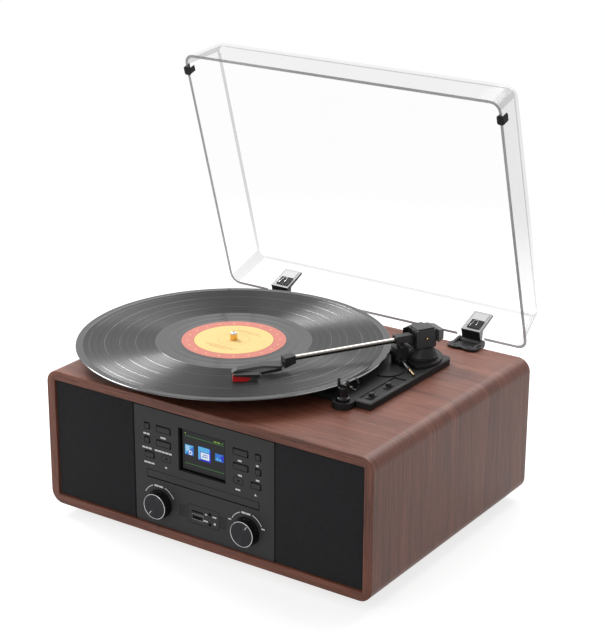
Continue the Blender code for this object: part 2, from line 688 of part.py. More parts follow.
def control_board(parent):
    """The board behind the face, split by the drawer's slot, with the two knobs' rotary parts on it."""
    half_width = FACE_WIDTH / 2 - FACE_SIDE_WALL - CONTROL_BOARD_MARGIN / 2
    bottom = INNER_BOTTOM + FACE_SIDE_WALL + CONTROL_BOARD_MARGIN
    top = INNER_TOP - FACE_SIDE_WALL - CONTROL_BOARD_MARGIN
    front, back = CONTROL_BOARD_Y, CONTROL_BOARD_Y + BOARD_THICKNESS
    board = prism("control_board", rectangle(-half_width, half_width, bottom, top), front, back, "Y")
    slot = oblong(DRAWER_WIDTH + 2 * BOARD_DRAWER_GAP, DRAWER_HEIGHT + 2 * BOARD_DRAWER_GAP,
                  (CONTROL_MIDDLE_X, DRAWER_Z))
    pierce(board, slot, front, back, "Y")
    for side in (-1, 1):
        outline = oblong(ENCODER_SIZE, ENCODER_SIZE, (CONTROL_MIDDLE_X + side * KNOB_X, KNOB_Z))
        join(board, prism("encoder", outline, front - ENCODER_DEPTH, front + BOARD_THICKNESS / 2, "Y"))
    settle(board, parent, finish("board_green", (0.02, 0.10, 0.04), 0.5))


def knob(name, side, parent):
    """A turned knob, wider at its foot, with a bevelled front ring, a sunk face and its shaft."""
    back = FRONT_RECESS - KNOB_FACE_GAP
    front = FRONT_RECESS - KNOB_HEIGHT
    shaft_end = CONTROL_BOARD_Y - ENCODER_DEPTH - SEAT_GAP
    face = KNOB_RADIUS - 2 * KNOB_EDGE
    profile = [(KNOB_SHAFT_RADIUS, shaft_end), (KNOB_SHAFT_RADIUS, back), (KNOB_SKIRT_RADIUS, back),
               (KNOB_RADIUS, front + KNOB_EDGE), (KNOB_RADIUS - KNOB_EDGE, front),
               (face, front), (face, front + KNOB_FACE_RECESS)]
    body = moved(turned(name, profile, axis="Y"), (0.0, -FRONT_RECESS, 0.0))
    place = (CONTROL_MIDDLE_X + side * KNOB_X, FRONT_RECESS, KNOB_Z)
    black = finish(name, (0.03, 0.03, 0.032), 0.3)
    settle(body, frame_empty(f"{name}_spin", parent, place), black, rounded=True)


def socket_block(parent):
    """The insert with the stick socket, the card slot and two round sockets, with its body behind."""
    face = rounded_box(SOCKET_PLATE_WIDTH / 2, SOCKET_PLATE_HEIGHT / 2, SOCKET_PLATE_CORNER,
                       (0.0, SOCKET_PLATE_Z), steps=2)
    flange = rounded_box(SOCKET_PLATE_WIDTH / 2 + SOCKET_FLANGE, SOCKET_PLATE_HEIGHT / 2 + SOCKET_FLANGE,
                         SOCKET_PLATE_CORNER, (0.0, SOCKET_PLATE_Z), steps=2)
    back = CONTROL_BOARD_Y - SEAT_GAP
    flange_front = FACE_BACK + SEAT_GAP
    block = solid("socket_block", [(face, FRONT_RECESS), (face, flange_front), (flange, flange_front),
                                   (flange, back)], "Y")
    usb = oblong(USB_WIDTH, USB_HEIGHT, (USB_X, USB_Z))
    card = oblong(USB_WIDTH, CARD_SLOT_HEIGHT, (USB_X, CARD_SLOT_Z))
    front = FRONT_RECESS - CUT_OVERRUN
    cut(block, prism("usb", usb, front, FRONT_RECESS + USB_DEPTH, "Y"))
    cut(block, prism("card", card, front, FRONT_RECESS + CARD_SLOT_DEPTH, "Y"))
    for z in JACK_Z:
        jack = circle(JACK_RADIUS, (JACK_X, z), 12)
        cut(block, prism("jack", jack, front, FRONT_RECESS + JACK_DEPTH, "Y"))
    settle(block, parent, finish("socket_plastic", (0.035, 0.036, 0.037), 0.6))


def disc_drawer(parent):
    """The disc drawer: its front strip, the tray with the disc's recess, and the slot for the hub."""
    carrier = frame_empty("disc_drawer_slide", parent, (CONTROL_MIDDLE_X, FRONT_RECESS, DRAWER_Z))
    strip = rounded_box(DRAWER_WIDTH / 2, DRAWER_HEIGHT / 2, BUTTON_CORNER, steps=2)
    drawer = prism("disc_drawer", strip, 0.0, DRAWER_FRONT_THICKNESS, "Y")
    half_width = DRAWER_WIDTH / 2 - BUTTON_FLANGE
    tray_top = DRAWER_TRAY_THICKNESS / 2
    tray = prism("tray", rectangle(-half_width, half_width, DRAWER_FRONT_THICKNESS / 2, DRAWER_LENGTH),
                 -tray_top, tray_top)
    join(drawer, tray)
    disc_y = DRAWER_LENGTH / 2 + DRAWER_FRONT_THICKNESS / 2
    disc = circle(DISC_RECESS_RADIUS, (0.0, disc_y), 48)
    hub = rectangle(-DISC_HUB_HOLE_RADIUS, DISC_HUB_HOLE_RADIUS, disc_y - DISC_HUB_HOLE_RADIUS,
                    DRAWER_LENGTH + CUT_OVERRUN)
    cut(drawer, prism("disc_recess", disc, tray_top - DISC_RECESS_DEPTH, tray_top + CUT_OVERRUN))
    pierce(drawer, hub, -tray_top, tray_top)
    settle(drawer, carrier, finish("drawer_plastic", (0.040, 0.041, 0.042), 0.5))


def disc_drive(parent):
    """The disc drive's housing: a pocket for the drawer, and ears on the back of the face moulding."""
    front = CONTROL_BOARD_Y + BOARD_THICKNESS + SEAT_GAP
    pocket_half = DRAWER_WIDTH / 2 + RUNNING_GAP
    bottom = DRAWER_Z - DRAWER_HEIGHT / 2 - RUNNING_GAP
    top = DRAWER_Z + DRAWER_HEIGHT / 2 + RUNNING_GAP
    half_width = pocket_half + DRIVE_WALL
    case = rectangle(-half_width, half_width, bottom - DRIVE_WALL, top + DRIVE_TOP_DEPTH)
    housing = prism("disc_drive", case, front, front + DRIVE_LENGTH, "Y")
    ears = rectangle(-half_width - DRIVE_EAR, half_width + DRIVE_EAR, bottom - DRIVE_WALL, top + DRIVE_WALL)
    join(housing, prism("ears", ears, front, front + DRIVE_EAR_THICKNESS, "Y"))
    cut(housing, prism("pocket", rectangle(-pocket_half, pocket_half, bottom, top),
                       front - CUT_OVERRUN, front + DRIVE_LENGTH - DRIVE_WALL, "Y"))
    moved(housing, (CONTROL_MIDDLE_X, 0.0, 0.0))
    settle(housing, parent, finish("drive_steel", (0.45, 0.46, 0.47), 0.4, 0.8))


def main_board(parent):
    """The amplifier and power board on its pillars, with a heat sink and the adaptor's inlet."""
    back = CABINET_DEPTH - REAR_PANEL_RECESS - REAR_PANEL_THICKNESS - MAIN_BOARD_BACK_GAP
    front = back - MAIN_BOARD_DEPTH
    floor = INNER_BOTTOM + SEAT_GAP
    bottom = floor + MAIN_BOARD_STAND
    top = bottom + BOARD_THICKNESS
    half_width = MAIN_BOARD_WIDTH / 2
    board = prism("main_board", rectangle(-half_width, half_width, front, back), bottom, top)
    for side in (-1, 1):
        for y in (front + 2 * PILLAR_RADIUS, back - 2 * PILLAR_RADIUS):
            centre = (side * (half_width - 2 * PILLAR_RADIUS), y)
            join(board, prism("pillar", circle(PILLAR_RADIUS, centre, 12), floor, top - SEAT_GAP))
    sink_width, sink_depth, sink_height = HEAT_SINK
    middle_y = (front + back) / 2
    sink = rectangle(-half_width / 2 - sink_width / 2, -half_width / 2 + sink_width / 2,
                     middle_y - sink_depth / 2, middle_y + sink_depth / 2)
    inlet = rectangle(-INLET_BLOCK / 2, INLET_BLOCK / 2, back - INLET_BLOCK, back)
    join(board, prism("heat_sink", sink, top - SEAT_GAP, top + sink_height),
         prism("inlet", inlet, top - SEAT_GAP, INLET_Z + INLET_BLOCK / 2))
    bore = circle(INLET_RADIUS, (0.0, INLET_Z), SMALL_ROUND_STEPS)
    cut(board, prism("inlet_bore", bore, back - INLET_DEPTH, back + CUT_OVERRUN, "Y"))
    settle(board, parent, finish("main_board_green", (0.02, 0.10, 0.04), 0.5))


def arm_plate_outline(inset):
    """The deck's right-hand part seen from above: a long plate that widens a little to the back."""
    left, right = DECK_ARM_LEFT, DECK_ARM_RIGHT - inset
    front, back = DECK_ARM_FRONT + inset, DECK_ARM_BACK - inset
    radius = DECK_ARM_CORNER
    corner = []
    for step in range(CORNER_STEPS + 1):
        turn = math.pi / 2 * step / CORNER_STEPS
        corner.append((right + DECK_ARM_FLARE - radius + radius * math.cos(turn),
                       back - radius + radius * math.sin(turn)))
    return [(left, front), (right, front)] + corner + [(left, back)]


def rest_place():
    """Where the arm rest stands, seen from above."""
    angle = math.radians(REST_ANGLE)
    return (ARM_PIVOT_X - REST_DISTANCE * math.sin(angle), ARM_PIVOT_Y - REST_DISTANCE * math.cos(angle))


def deck_plate(parent):
    """The black deck: arm plate, platter well with its bearing, rest boss, switch trough and raised pad."""
    centre = (SPINDLE_X, SPINDLE_Y)
    ledge_top = DECK_BOTTOM + DECK_LEDGE_HEIGHT
    deck = prism("deck_plate", arm_plate_outline(0.0), DECK_BOTTOM, ledge_top)
    join(deck, prism("upper", arm_plate_outline(DECK_LEDGE), DECK_BOTTOM + SEAT_GAP, DECK_TOP),
         prism("disc", circle(DECK_DISC_RADIUS, centre, 64), DECK_BOTTOM, DECK_TOP),
         prism("rest_boss", circle(REST_BOSS_RADIUS, rest_place(), 32), DECK_BOTTOM, ledge_top + SEAT_GAP),
         prism("well", circle(WELL_RADIUS + WELL_WALL, centre, 64), WELL_UNDERSIDE, DECK_TOP - SEAT_GAP))
    cut(deck, prism("well_hollow", circle(WELL_RADIUS, centre, 64), WELL_FLOOR, DECK_TOP + CUT_OVERRUN))
    join(deck, prism("bearing", circle(BEARING_RADIUS, centre), WELL_UNDERSIDE + SEAT_GAP,
                     WELL_FLOOR + BEARING_HEIGHT))
    bore = circle(SPINDLE_RADIUS + RUNNING_GAP, centre, SMALL_ROUND_STEPS)
    shaft = circle(PULLEY_SHAFT_RADIUS + RUNNING_GAP, motor_place(), 12)
    cut(deck, prism("bearing_bore", bore, WELL_FLOOR - SEAT_GAP, DECK_TOP))
    pierce(deck, shaft, WELL_UNDERSIDE, WELL_FLOOR)
    trough = rectangle(*SWITCH_TROUGH_X, *SWITCH_TROUGH_Y)
    cut(deck, prism("trough", trough, DECK_TOP - SWITCH_TROUGH_DEPTH, DECK_TOP + CUT_OVERRUN))
    pad = [(PAD_WIDTH / 2 * math.cos(angle) * math.cos(angle / 2), PAD_LENGTH / 2 * math.sin(angle))
           for angle in (2 * math.pi * step / 24 - math.pi for step in range(24))]
    raised = turned_about_z(prism("pad", pad, 0.0, PAD_HEIGHT + SEAT_GAP), -ARM_ANGLE)
    join(deck, moved(raised, (PAD_X, PAD_Y, DECK_TOP - SEAT_GAP)))
    settle(deck, parent, finish("deck_plastic", (0.022, 0.022, 0.023), 0.35), rounded=True)


def motor_place():
    """Where the motor's shaft stands, seen from above, outside the platter's belt ring."""
    distance = BELT_RADIUS + BELT_RUN + PULLEY_RADIUS
    angle = math.radians(MOTOR_ANGLE)
    return (SPINDLE_X + distance * math.cos(angle), SPINDLE_Y + distance * math.sin(angle))


def belt_level():
    """Height of the middle of the belt."""
    return WELL_FLOOR + PULLEY_FLOOR_GAP + PULLEY_HEIGHT / 2


def motor_and_pulley(parent):
    """The motor under the well's floor, and its pulley in the well."""
    can_top = WELL_UNDERSIDE - SEAT_GAP
    can = prism("motor", circle(MOTOR_RADIUS, motor_place(), 24), can_top - MOTOR_HEIGHT, can_top)
    cut(can, prism("shaft_bore", circle(PULLEY_SHAFT_RADIUS + RUNNING_GAP, motor_place(), 12),
                   can_top - PULLEY_HEIGHT, can_top + CUT_OVERRUN))
    settle(can, parent, finish("motor_steel", (0.5, 0.5, 0.5), 0.35, 0.9), rounded=True)
    bottom = WELL_FLOOR + PULLEY_FLOOR_GAP
    rim = PULLEY_RADIUS + PULLEY_FLANGE
    profile = [(PULLEY_SHAFT_RADIUS, can_top - PULLEY_HEIGHT / 2), (PULLEY_SHAFT_RADIUS, bottom),
               (rim, bottom), (rim, bottom + PULLEY_FLANGE), (PULLEY_RADIUS, bottom + PULLEY_FLANGE),
               (PULLEY_RADIUS, bottom + PULLEY_HEIGHT)]
    pulley = turned("motor_pulley", profile, steps=24)
    carrier = frame_empty("motor_pulley_spin", parent, (*motor_place(), 0.0))
    settle(pulley, carrier, finish("pulley_brass", (0.6, 0.45, 0.2), 0.3, 1.0), rounded=True)


def drive_belt(parent):
    """The flat rubber belt round the platter's ring and the motor pulley."""
    outer = belt_outline(BELT_RADIUS + SEAT_GAP + BELT_THICKNESS, PULLEY_RADIUS + SEAT_GAP + BELT_THICKNESS)
    inner = belt_outline(BELT_RADIUS + SEAT_GAP, PULLEY_RADIUS + SEAT_GAP)
    low, high = belt_level() - BELT_WIDTH / 4, belt_level() + BELT_WIDTH * 3 / 4
    belt = prism("drive_belt", outer, low, high)
    pierce(belt, inner, low, high)
    moved(turned_about_z(belt, MOTOR_ANGLE), (SPINDLE_X, SPINDLE_Y, 0.0))
    settle(belt, parent, finish("belt_rubber", (0.02, 0.02, 0.02), 0.8))


def belt_outline(large, small):
    """A loop round two circles on the x axis, the large one at zero."""
    distance = BELT_RADIUS + BELT_RUN + PULLEY_RADIUS
    lean = math.acos((large - small) / distance)
    loop = []
    for step in range(33):
        angle = lean + (2 * math.pi - 2 * lean) * step / 32
        loop.append((large * math.cos(angle), large * math.sin(angle)))
    for step in range(13):
        angle = -lean + 2 * lean * step / 12
        loop.append((distance + small * math.cos(angle), small * math.sin(angle)))
    return loop


def platter_group(parent):
    """The platter with its belt ring, the mat, the record and the spindle, all on one axis."""
    carrier = frame_empty("platter_spin", parent, (SPINDLE_X, SPINDLE_Y, 0.0))
    under = PLATTER_TOP - PLATTER_TOP_THICKNESS
    skirt_bottom = max(PLATTER_TOP - PLATTER_SKIRT_HEIGHT, DECK_TOP + PLATTER_DECK_GAP)
    ring_bottom = belt_level() - BELT_WIDTH / 2
    platter = prism("platter", circle(PLATTER_RADIUS, steps=64), skirt_bottom, PLATTER_TOP)
    skirt_inside = circle(PLATTER_RADIUS - PLATTER_SKIRT, steps=64)
    cut(platter, prism("skirt_hollow", skirt_inside, skirt_bottom - CUT_OVERRUN, under))
    ring = prism("belt_ring", circle(BELT_RADIUS, steps=64), ring_bottom, under + SEAT_GAP)
    pierce(ring, circle(BELT_RADIUS - PLATTER_RING_THICKNESS, steps=48), ring_bottom, under)
    hole = circle(SPINDLE_RADIUS + SEAT_GAP, steps=20)
    pierce(join(platter, ring), hole, under, PLATTER_TOP)
    settle(platter, carrier, finish("platter_black", (0.03, 0.03, 0.03), 0.4), rounded=True)
    discs = (("platter_mat", MAT_RADIUS, MAT_BOTTOM, MAT_TOP, (0.02, 0.02, 0.02), 0.9),
             ("record", RECORD_RADIUS, RECORD_BOTTOM, RECORD_TOP_Z, (0.012, 0.012, 0.012), 0.2))
    for name, radius, low, high, colour, roughness in discs:
        disc = prism(name, circle(radius, steps=96), low, high)
        pierce(disc, hole, low, high)
        settle(disc, carrier, finish(name, colour, roughness), rounded=True)
    tip = RECORD_TOP_Z + SPINDLE_ABOVE_RECORD
    profile = [(SPINDLE_RADIUS, WELL_FLOOR), (SPINDLE_RADIUS, tip - SPINDLE_TIP), (SPINDLE_RADIUS / 2, tip)]
    spindle = turned("spindle", profile, steps=20)
    settle(spindle, carrier, finish("spindle_brass", (0.75, 0.55, 0.25), 0.25, 1.0), rounded=True)


def arm_turn():
    """The turn that lays a frame's -Y along the tonearm."""
    return Matrix.Rotation(math.radians(-ARM_ANGLE), 4, "Z")


def along(outline):
    """Points given as (side, distance along the arm), in a frame whose -Y runs along the arm."""
    return [(side, -distance) for side, distance in outline]


def arm_box(name, side_low, side_high, back, front, low, high):
    """A block in the arm's frame, with heights above the record's top face."""
    outline = along(rectangle(side_low, side_high, back, front))
    return prism(name, outline, RECORD_TOP_Z + low, RECORD_TOP_Z + high)


def tonearm_base(parent):
    """The stepped round base, its column, and the tower of the cue lift with the lever's pin."""
    bottom = DECK_TOP + SEAT_GAP
    column_top = RECORD_TOP_Z + YOKE_BOTTOM - SEAT_GAP
    first, second = bottom + ARM_BASE_STEP, bottom + 2 * ARM_BASE_STEP
    plateau = [(side, min(reach, ARM_BASE_CUT)) for side, reach in circle(ARM_BASE_RADIUS, ARM_BASE_SHIFT, 72)]
    low_step = prism("low_step", along(plateau), bottom, first)
    profile = [(ARM_BASE_UPPER_RADIUS, bottom + SEAT_GAP), (ARM_BASE_UPPER_RADIUS, first),
               (ARM_BASE_UPPER_RADIUS, second), (ARM_COLUMN_FOOT_RADIUS, second),
               (ARM_COLUMN_RADIUS, column_top)]
    base = turned("tonearm_base", profile)
    tower = prism("tower", along(rectangle(-TOWER_FAR, TOWER_NEAR, TOWER_BACK, TOWER_FRONT)),
                  bottom, RECORD_TOP_Z + TOWER_TOP)
    foot = prism("tower_foot", along(rectangle(-TOWER_FAR, TOWER_NEAR, 0.0, TOWER_BACK)),
                 bottom, second - SEAT_GAP)
    pin_z = DECK_TOP + CUE_LEVER_LIFT
    lug = prism("lug", rectangle(TOWER_NEAR - SEAT_GAP, CUE_LEVER_SIDE + CUE_HUB_RADIUS,
                                 bottom, pin_z + CUE_HUB_RADIUS),
                -TOWER_FRONT, -CUE_LEVER_ALONG - CUE_HUB_LENGTH / 2 - RUNNING_GAP, "Y")
    pin = prism("pin", circle(CUE_PIN_RADIUS, (CUE_LEVER_SIDE, pin_z), 12),
                -TOWER_FRONT + SEAT_GAP, -CUE_LEVER_ALONG + CUE_HUB_LENGTH / 2, "Y")
    bore = prism("post_bore", circle(LIFT_POST_RADIUS + RUNNING_GAP, (lift_post_side(), -LIFT_RADIUS), 16),
                 RECORD_TOP_Z + LIFT_BAR_TOP - LIFT_BAR_THICKNESS - LIFT_POST_LENGTH - LIFT_TRAVEL,
                 RECORD_TOP_Z + TOWER_TOP + CUT_OVERRUN)
    cut(join(base, low_step, foot, tower, lug, pin), bore)
    fixed = frame_empty("tonearm_base_frame", parent, (ARM_PIVOT_X, ARM_PIVOT_Y, 0.0), arm_turn())
    settle(base, fixed, finish("tonearm_base", (0.02, 0.02, 0.021), 0.4), rounded=True)


def lift_post_side():
    """The lift's post stands in the middle of its tower."""
    return (TOWER_NEAR - TOWER_FAR) / 2


def cue_lift(parent):
    """The curved bar under the arm, with its post, and the lever that raises it."""
    fixed = frame_empty("lift_platform_slide", parent, (ARM_PIVOT_X, ARM_PIVOT_Y, 0.0), arm_turn())
    bar_points = []
    for radius, order in ((LIFT_RADIUS + LIFT_BAR_HALF_DEPTH, 1), (LIFT_RADIUS - LIFT_BAR_HALF_DEPTH, -1)):
        steps = range(13)[::order]
        for step in steps:
            angle = math.radians(LIFT_BAR_SPAN[0] + (LIFT_BAR_SPAN[1] - LIFT_BAR_SPAN[0]) * step / 12)
            bar_points.append((radius * math.sin(angle), -radius * math.cos(angle)))
    top = RECORD_TOP_Z + LIFT_BAR_TOP
    bottom = top - LIFT_BAR_THICKNESS
    bar = prism("lift_platform", bar_points, bottom, top)
    post = prism("post", circle(LIFT_POST_RADIUS, (lift_post_side(), -LIFT_RADIUS), 16),
                 bottom - LIFT_POST_LENGTH, bottom + SEAT_GAP)
    settle(join(bar, post), fixed, finish("lift_platform", (0.02, 0.02, 0.02), 0.5), rounded=True)
    lever_frame = frame_empty("cue_lever_hinge", fixed,
                              (CUE_LEVER_SIDE, -CUE_LEVER_ALONG, DECK_TOP + CUE_LEVER_LIFT))
    hub = prism("cue_lever", circle(CUE_HUB_RADIUS, steps=16), -CUE_HUB_LENGTH / 2, CUE_HUB_LENGTH / 2, "Y")
    profile = [(CUE_LEVER_GRIP_RADIUS, CUE_HUB_RADIUS / 2), (CUE_LEVER_GRIP_RADIUS, CUE_LEVER_GRIP),
               (CUE_LEVER_RADIUS, CUE_LEVER_GRIP), (CUE_LEVER_RADIUS, CUE_LEVER_LENGTH)]
    rod = turned("rod", profile, axis="X", steps=12)
    drop = Matrix.Rotation(math.asin(CUE_LEVER_DROP / CUE_LEVER_LENGTH), 4, "Y")
    rod.data.transform(Matrix.Rotation(math.radians(-CUE_LEVER_TURN), 4, "Z") @ drop)
    lever = cut(join(hub, rod), prism("pin_bore", circle(CUE_PIN_RADIUS + RUNNING_GAP, steps=12),
                                      -CUE_HUB_LENGTH, CUE_HUB_LENGTH, "Y"))
    settle(lever, lever_frame, finish("cue_lever", (0.05, 0.05, 0.05), 0.35), rounded=True)


def tonearm_yoke(parent):
    """The housing that turns on the base: a box open at front and back, its cap and its far-side wing."""
    yoke = arm_box("tonearm_yoke", -YOKE_HALF_WIDTH, YOKE_HALF_WIDTH, -YOKE_BACK, YOKE_FRONT,
                   YOKE_BOTTOM, YOKE_TOP)
    inner = YOKE_HALF_WIDTH - YOKE_CHEEK
    cut(yoke, arm_box("inside", -inner, inner, -YOKE_BACK - CUT_OVERRUN, YOKE_FRONT + CUT_OVERRUN,
                      YOKE_BOTTOM + YOKE_FLOOR, YOKE_TOP - YOKE_ROOF))
    join(yoke, arm_box("cap", -YOKE_HALF_WIDTH + YOKE_CAP_INSET, YOKE_HALF_WIDTH - YOKE_CAP_INSET,
                       -YOKE_BACK + YOKE_CAP_INSET, YOKE_FRONT - YOKE_CAP_INSET,
                       YOKE_TOP - SEAT_GAP, YOKE_TOP + YOKE_CAP_HEIGHT))
    side = YOKE_HALF_WIDTH - SEAT_GAP
    wing = [(-side, -YOKE_BACK), (-side - WING_WIDTH, -WING_SIDE_BACK), (-side - WING_WIDTH, WING_SIDE_FRONT),
            (-side, WING_FRONT)]
    join(yoke, prism("wing", along(wing), RECORD_TOP_Z + WING_BOTTOM, RECORD_TOP_Z + YOKE_TOP - WING_ROOF_STEP))
    hole = circle(PIVOT_PIN_RADIUS + RUNNING_GAP, (0.0, AXIS_Z), 16)
    wide = YOKE_HALF_WIDTH + CUT_OVERRUN
    cut(yoke, prism("pivot_hole", hole, -wide, wide, "X"))
    settle(yoke, parent, finish("yoke_plastic", (0.02, 0.02, 0.021), 0.35))


def arm_carrier(parent):
    """The block inside the housing: pivot pins, the sleeve that grips the tube, and the weight's stub."""
    def lift_box(name, side, back, front, low, high):
        outline = along(rectangle(-side, side, back, front))
        return prism(name, outline, low - ARM_AXIS_HEIGHT, high - ARM_AXIS_HEIGHT)
    block = lift_box("arm_carrier", CARRIER_HALF_WIDTH, -YOKE_BACK + SEAT_GAP, SLEEVE_BACK + SEAT_GAP,
                     CARRIER_BOTTOM, CARRIER_TOP)
    sleeve = lift_box("sleeve", SLEEVE_HALF_WIDTH, SLEEVE_BACK, SLEEVE_FRONT, SLEEVE_BOTTOM, SLEEVE_TOP)
    reach = YOKE_HALF_WIDTH + PIVOT_SCREW_STAND
    pin = prism("pin", circle(PIVOT_PIN_RADIUS, steps=16), -reach, reach, "X")
    stub = prism("stub", circle(STUB_RADIUS, steps=20), YOKE_BACK - STUB_SEAT / 2,
                 COUNTERWEIGHT_FRONT + STUB_SEAT - RUNNING_GAP, "Y")
    bore = prism("tube_bore", circle(TUBE_RADIUS + SEAT_GAP, steps=24), -SLEEVE_FRONT - CUT_OVERRUN,
                 -SLEEVE_FRONT + TUBE_SEAT + SEAT_GAP, "Y")
    cut(join(block, sleeve, pin, stub), bore)
    settle(block, parent, finish("carrier_plastic", (0.02, 0.02, 0.021), 0.4))


def counterweight(parent):
    """The short weight close behind the housing, drawn in to the back and bored for its stub."""
    low, high = COUNTERWEIGHT_BOTTOM - ARM_AXIS_HEIGHT, COUNTERWEIGHT_TOP - ARM_AXIS_HEIGHT
    half = COUNTERWEIGHT_HALF_WIDTH
    back_half = half - COUNTERWEIGHT_SIDE_TAPER
    front, back = COUNTERWEIGHT_FRONT, COUNTERWEIGHT_FRONT + COUNTERWEIGHT_LENGTH
    face = rectangle(-half, half, low, high)
    rear = rectangle(-back_half, back_half, low + COUNTERWEIGHT_FLOOR_TAPER, high - COUNTERWEIGHT_ROOF_TAPER)
    weight = solid("counterweight", [(face, front), (rear, back)], "Y")
    bore = circle(STUB_RADIUS + SEAT_GAP, steps=20)
    cut(weight, prism("stub_bore", bore, front - CUT_OVERRUN, front + STUB_SEAT, "Y"))
    settle(weight, parent, finish("counterweight", (0.02, 0.02, 0.021), 0.35))


def tonearm_tube(parent):
    """The straight chromed tube between the sleeve and the head shell's collar."""
    tube = prism("tonearm_tube", circle(TUBE_RADIUS, steps=24), -COLLAR_BACK - TUBE_SEAT,
                 -SLEEVE_FRONT + TUBE_SEAT, "Y")
    settle(tube, parent, finish("tube_chrome", (0.8, 0.8, 0.8), 0.12, 1.0), rounded=True)


def head_shell(parent):
    """The angular head: collar on the tube, tapering plate with a dropped nose, and the finger lift."""
    drop = -ARM_AXIS_HEIGHT
    collar_side = [(-COLLAR_BACK, COLLAR_BOTTOM_BACK + drop), (-COLLAR_FRONT, COLLAR_BOTTOM_FRONT + drop),
                   (-COLLAR_FRONT, COLLAR_TOP + drop - SHELL_NOSE_DROP / 3),
                   (-COLLAR_BACK, COLLAR_TOP + drop)]
    head = prism("head_shell", collar_side, -COLLAR_HALF_WIDTH, COLLAR_HALF_WIDTH, "X")
    length = SHELL_REACH - COLLAR_FRONT
    # Each corner is a share of the plate's length and of the finger lift's offset from the arm's line.
    top_shares = ((0.09, 1.40), (0.41, -0.14), (0.90, -0.19), (0.84, -1.57), (0.21, -1.67), (-0.02, -0.88))
    nose_shares = ((0.09, 1.40), (0.41, 0.10), (1.00, -0.21), (0.94, -1.59), (0.21, -1.67), (-0.02, -0.88))

    def corners(shares):
        return along([(side * LIFT_BLADE_OFFSET, COLLAR_FRONT + share * length) for share, side in shares])
    plate = solid("plate", [(corners(nose_shares), SHELL_BOTTOM + drop),
                            (corners(top_shares), SHELL_TOP + drop)])
    blade_back = COLLAR_FRONT + length * top_shares[0][0]
    blade = prism("blade", along(rectangle(LIFT_BLADE_OFFSET, LIFT_BLADE_OFFSET + LIFT_BLADE_THICKNESS,
                                           blade_back, blade_back + LIFT_BLADE_LENGTH)),
                  LIFT_BLADE_BOTTOM + drop, LIFT_BLADE_BOTTOM + LIFT_BLADE_HEIGHT + drop)
    root = prism("root", along(rectangle(LIFT_BLADE_OFFSET - LIFT_BLADE_THICKNESS,
                                         LIFT_BLADE_OFFSET + LIFT_BLADE_THICKNESS / 2,
                                         blade_back, blade_back + LIFT_BLADE_THICKNESS * 2)),
                 LIFT_BLADE_BOTTOM + drop, SHELL_TOP + drop - SEAT_GAP)
    bore = prism("tube_bore", circle(TUBE_RADIUS + SEAT_GAP, steps=24), -COLLAR_BACK - TUBE_SEAT - SEAT_GAP,
                 -COLLAR_BACK + CUT_OVERRUN, "Y")
    cut(join(head, plate, blade, root), bore)
    settle(head, parent, finish("head_plastic", (0.02, 0.02, 0.021), 0.3))


def cartridge_and_stylus(parent):
    """The cartridge and its red stylus guard, turned to lie along the groove."""
    drop = -ARM_AXIS_HEIGHT
    body_back = GUARD_LENGTH - GUARD_HALF_WIDTH / 8
    front_top = GUARD_FRONT_TOP + SEAT_GAP
    back_top = GUARD_BACK_TOP + SEAT_GAP
    top = SHELL_BOTTOM - SEAT_GAP
    side = [(NEEDLE_RADIUS, front_top + drop), (body_back + 2 * SEAT_GAP, back_top + drop),
            (body_back + 2 * SEAT_GAP, CARTRIDGE_BOTTOM + drop), (CARTRIDGE_LENGTH, CARTRIDGE_BOTTOM + drop),
            (CARTRIDGE_LENGTH, top + drop), (NEEDLE_RADIUS, top + drop)]
    body = prism("cartridge", side, -CARTRIDGE_HALF_WIDTH, CARTRIDGE_HALF_WIDTH, "X")
    wedge = [(0.0, GUARD_BOTTOM + drop), (body_back - GUARD_BACK_TOP, GUARD_BOTTOM + drop),
             (body_back, GUARD_BACK_TOP + drop), (0.0, GUARD_FRONT_TOP + drop)]
    guard = prism("stylus", wedge, -GUARD_HALF_WIDTH, GUARD_HALF_WIDTH, "X")
    profile = [(NEEDLE_RADIUS / 2, NEEDLE_CLEARANCE + drop), (NEEDLE_RADIUS, GUARD_BOTTOM + NEEDLE_RADIUS + drop)]
    tip = turned("needle", profile, (0.0, NEEDLE_BACK), steps=8)
    join(guard, tip)
    place = Matrix.Translation((GUARD_SIDE, -GUARD_FRONT, 0.0))
    turn = Matrix.Rotation(math.radians(-CARTRIDGE_TURN), 4, "Z")
    for item in (body, guard):
        item.data.transform(place @ turn)
    settle(body, parent, finish("cartridge", (0.02, 0.02, 0.02), 0.4))
    settle(guard, parent, finish("stylus_red", (0.75, 0.01, 0.02), 0.3))


def tonearm(parent):
    """All that swings on the base, and in it all that lifts."""
    swing = frame_empty("tonearm_swing", parent, (ARM_PIVOT_X, ARM_PIVOT_Y, 0.0), arm_turn())
    lift = frame_empty("tonearm_lift", swing, (0.0, 0.0, AXIS_Z))
    tonearm_yoke(swing)
    for piece in (arm_carrier, counterweight, tonearm_tube, head_shell, cartridge_and_stylus):
        piece(lift)


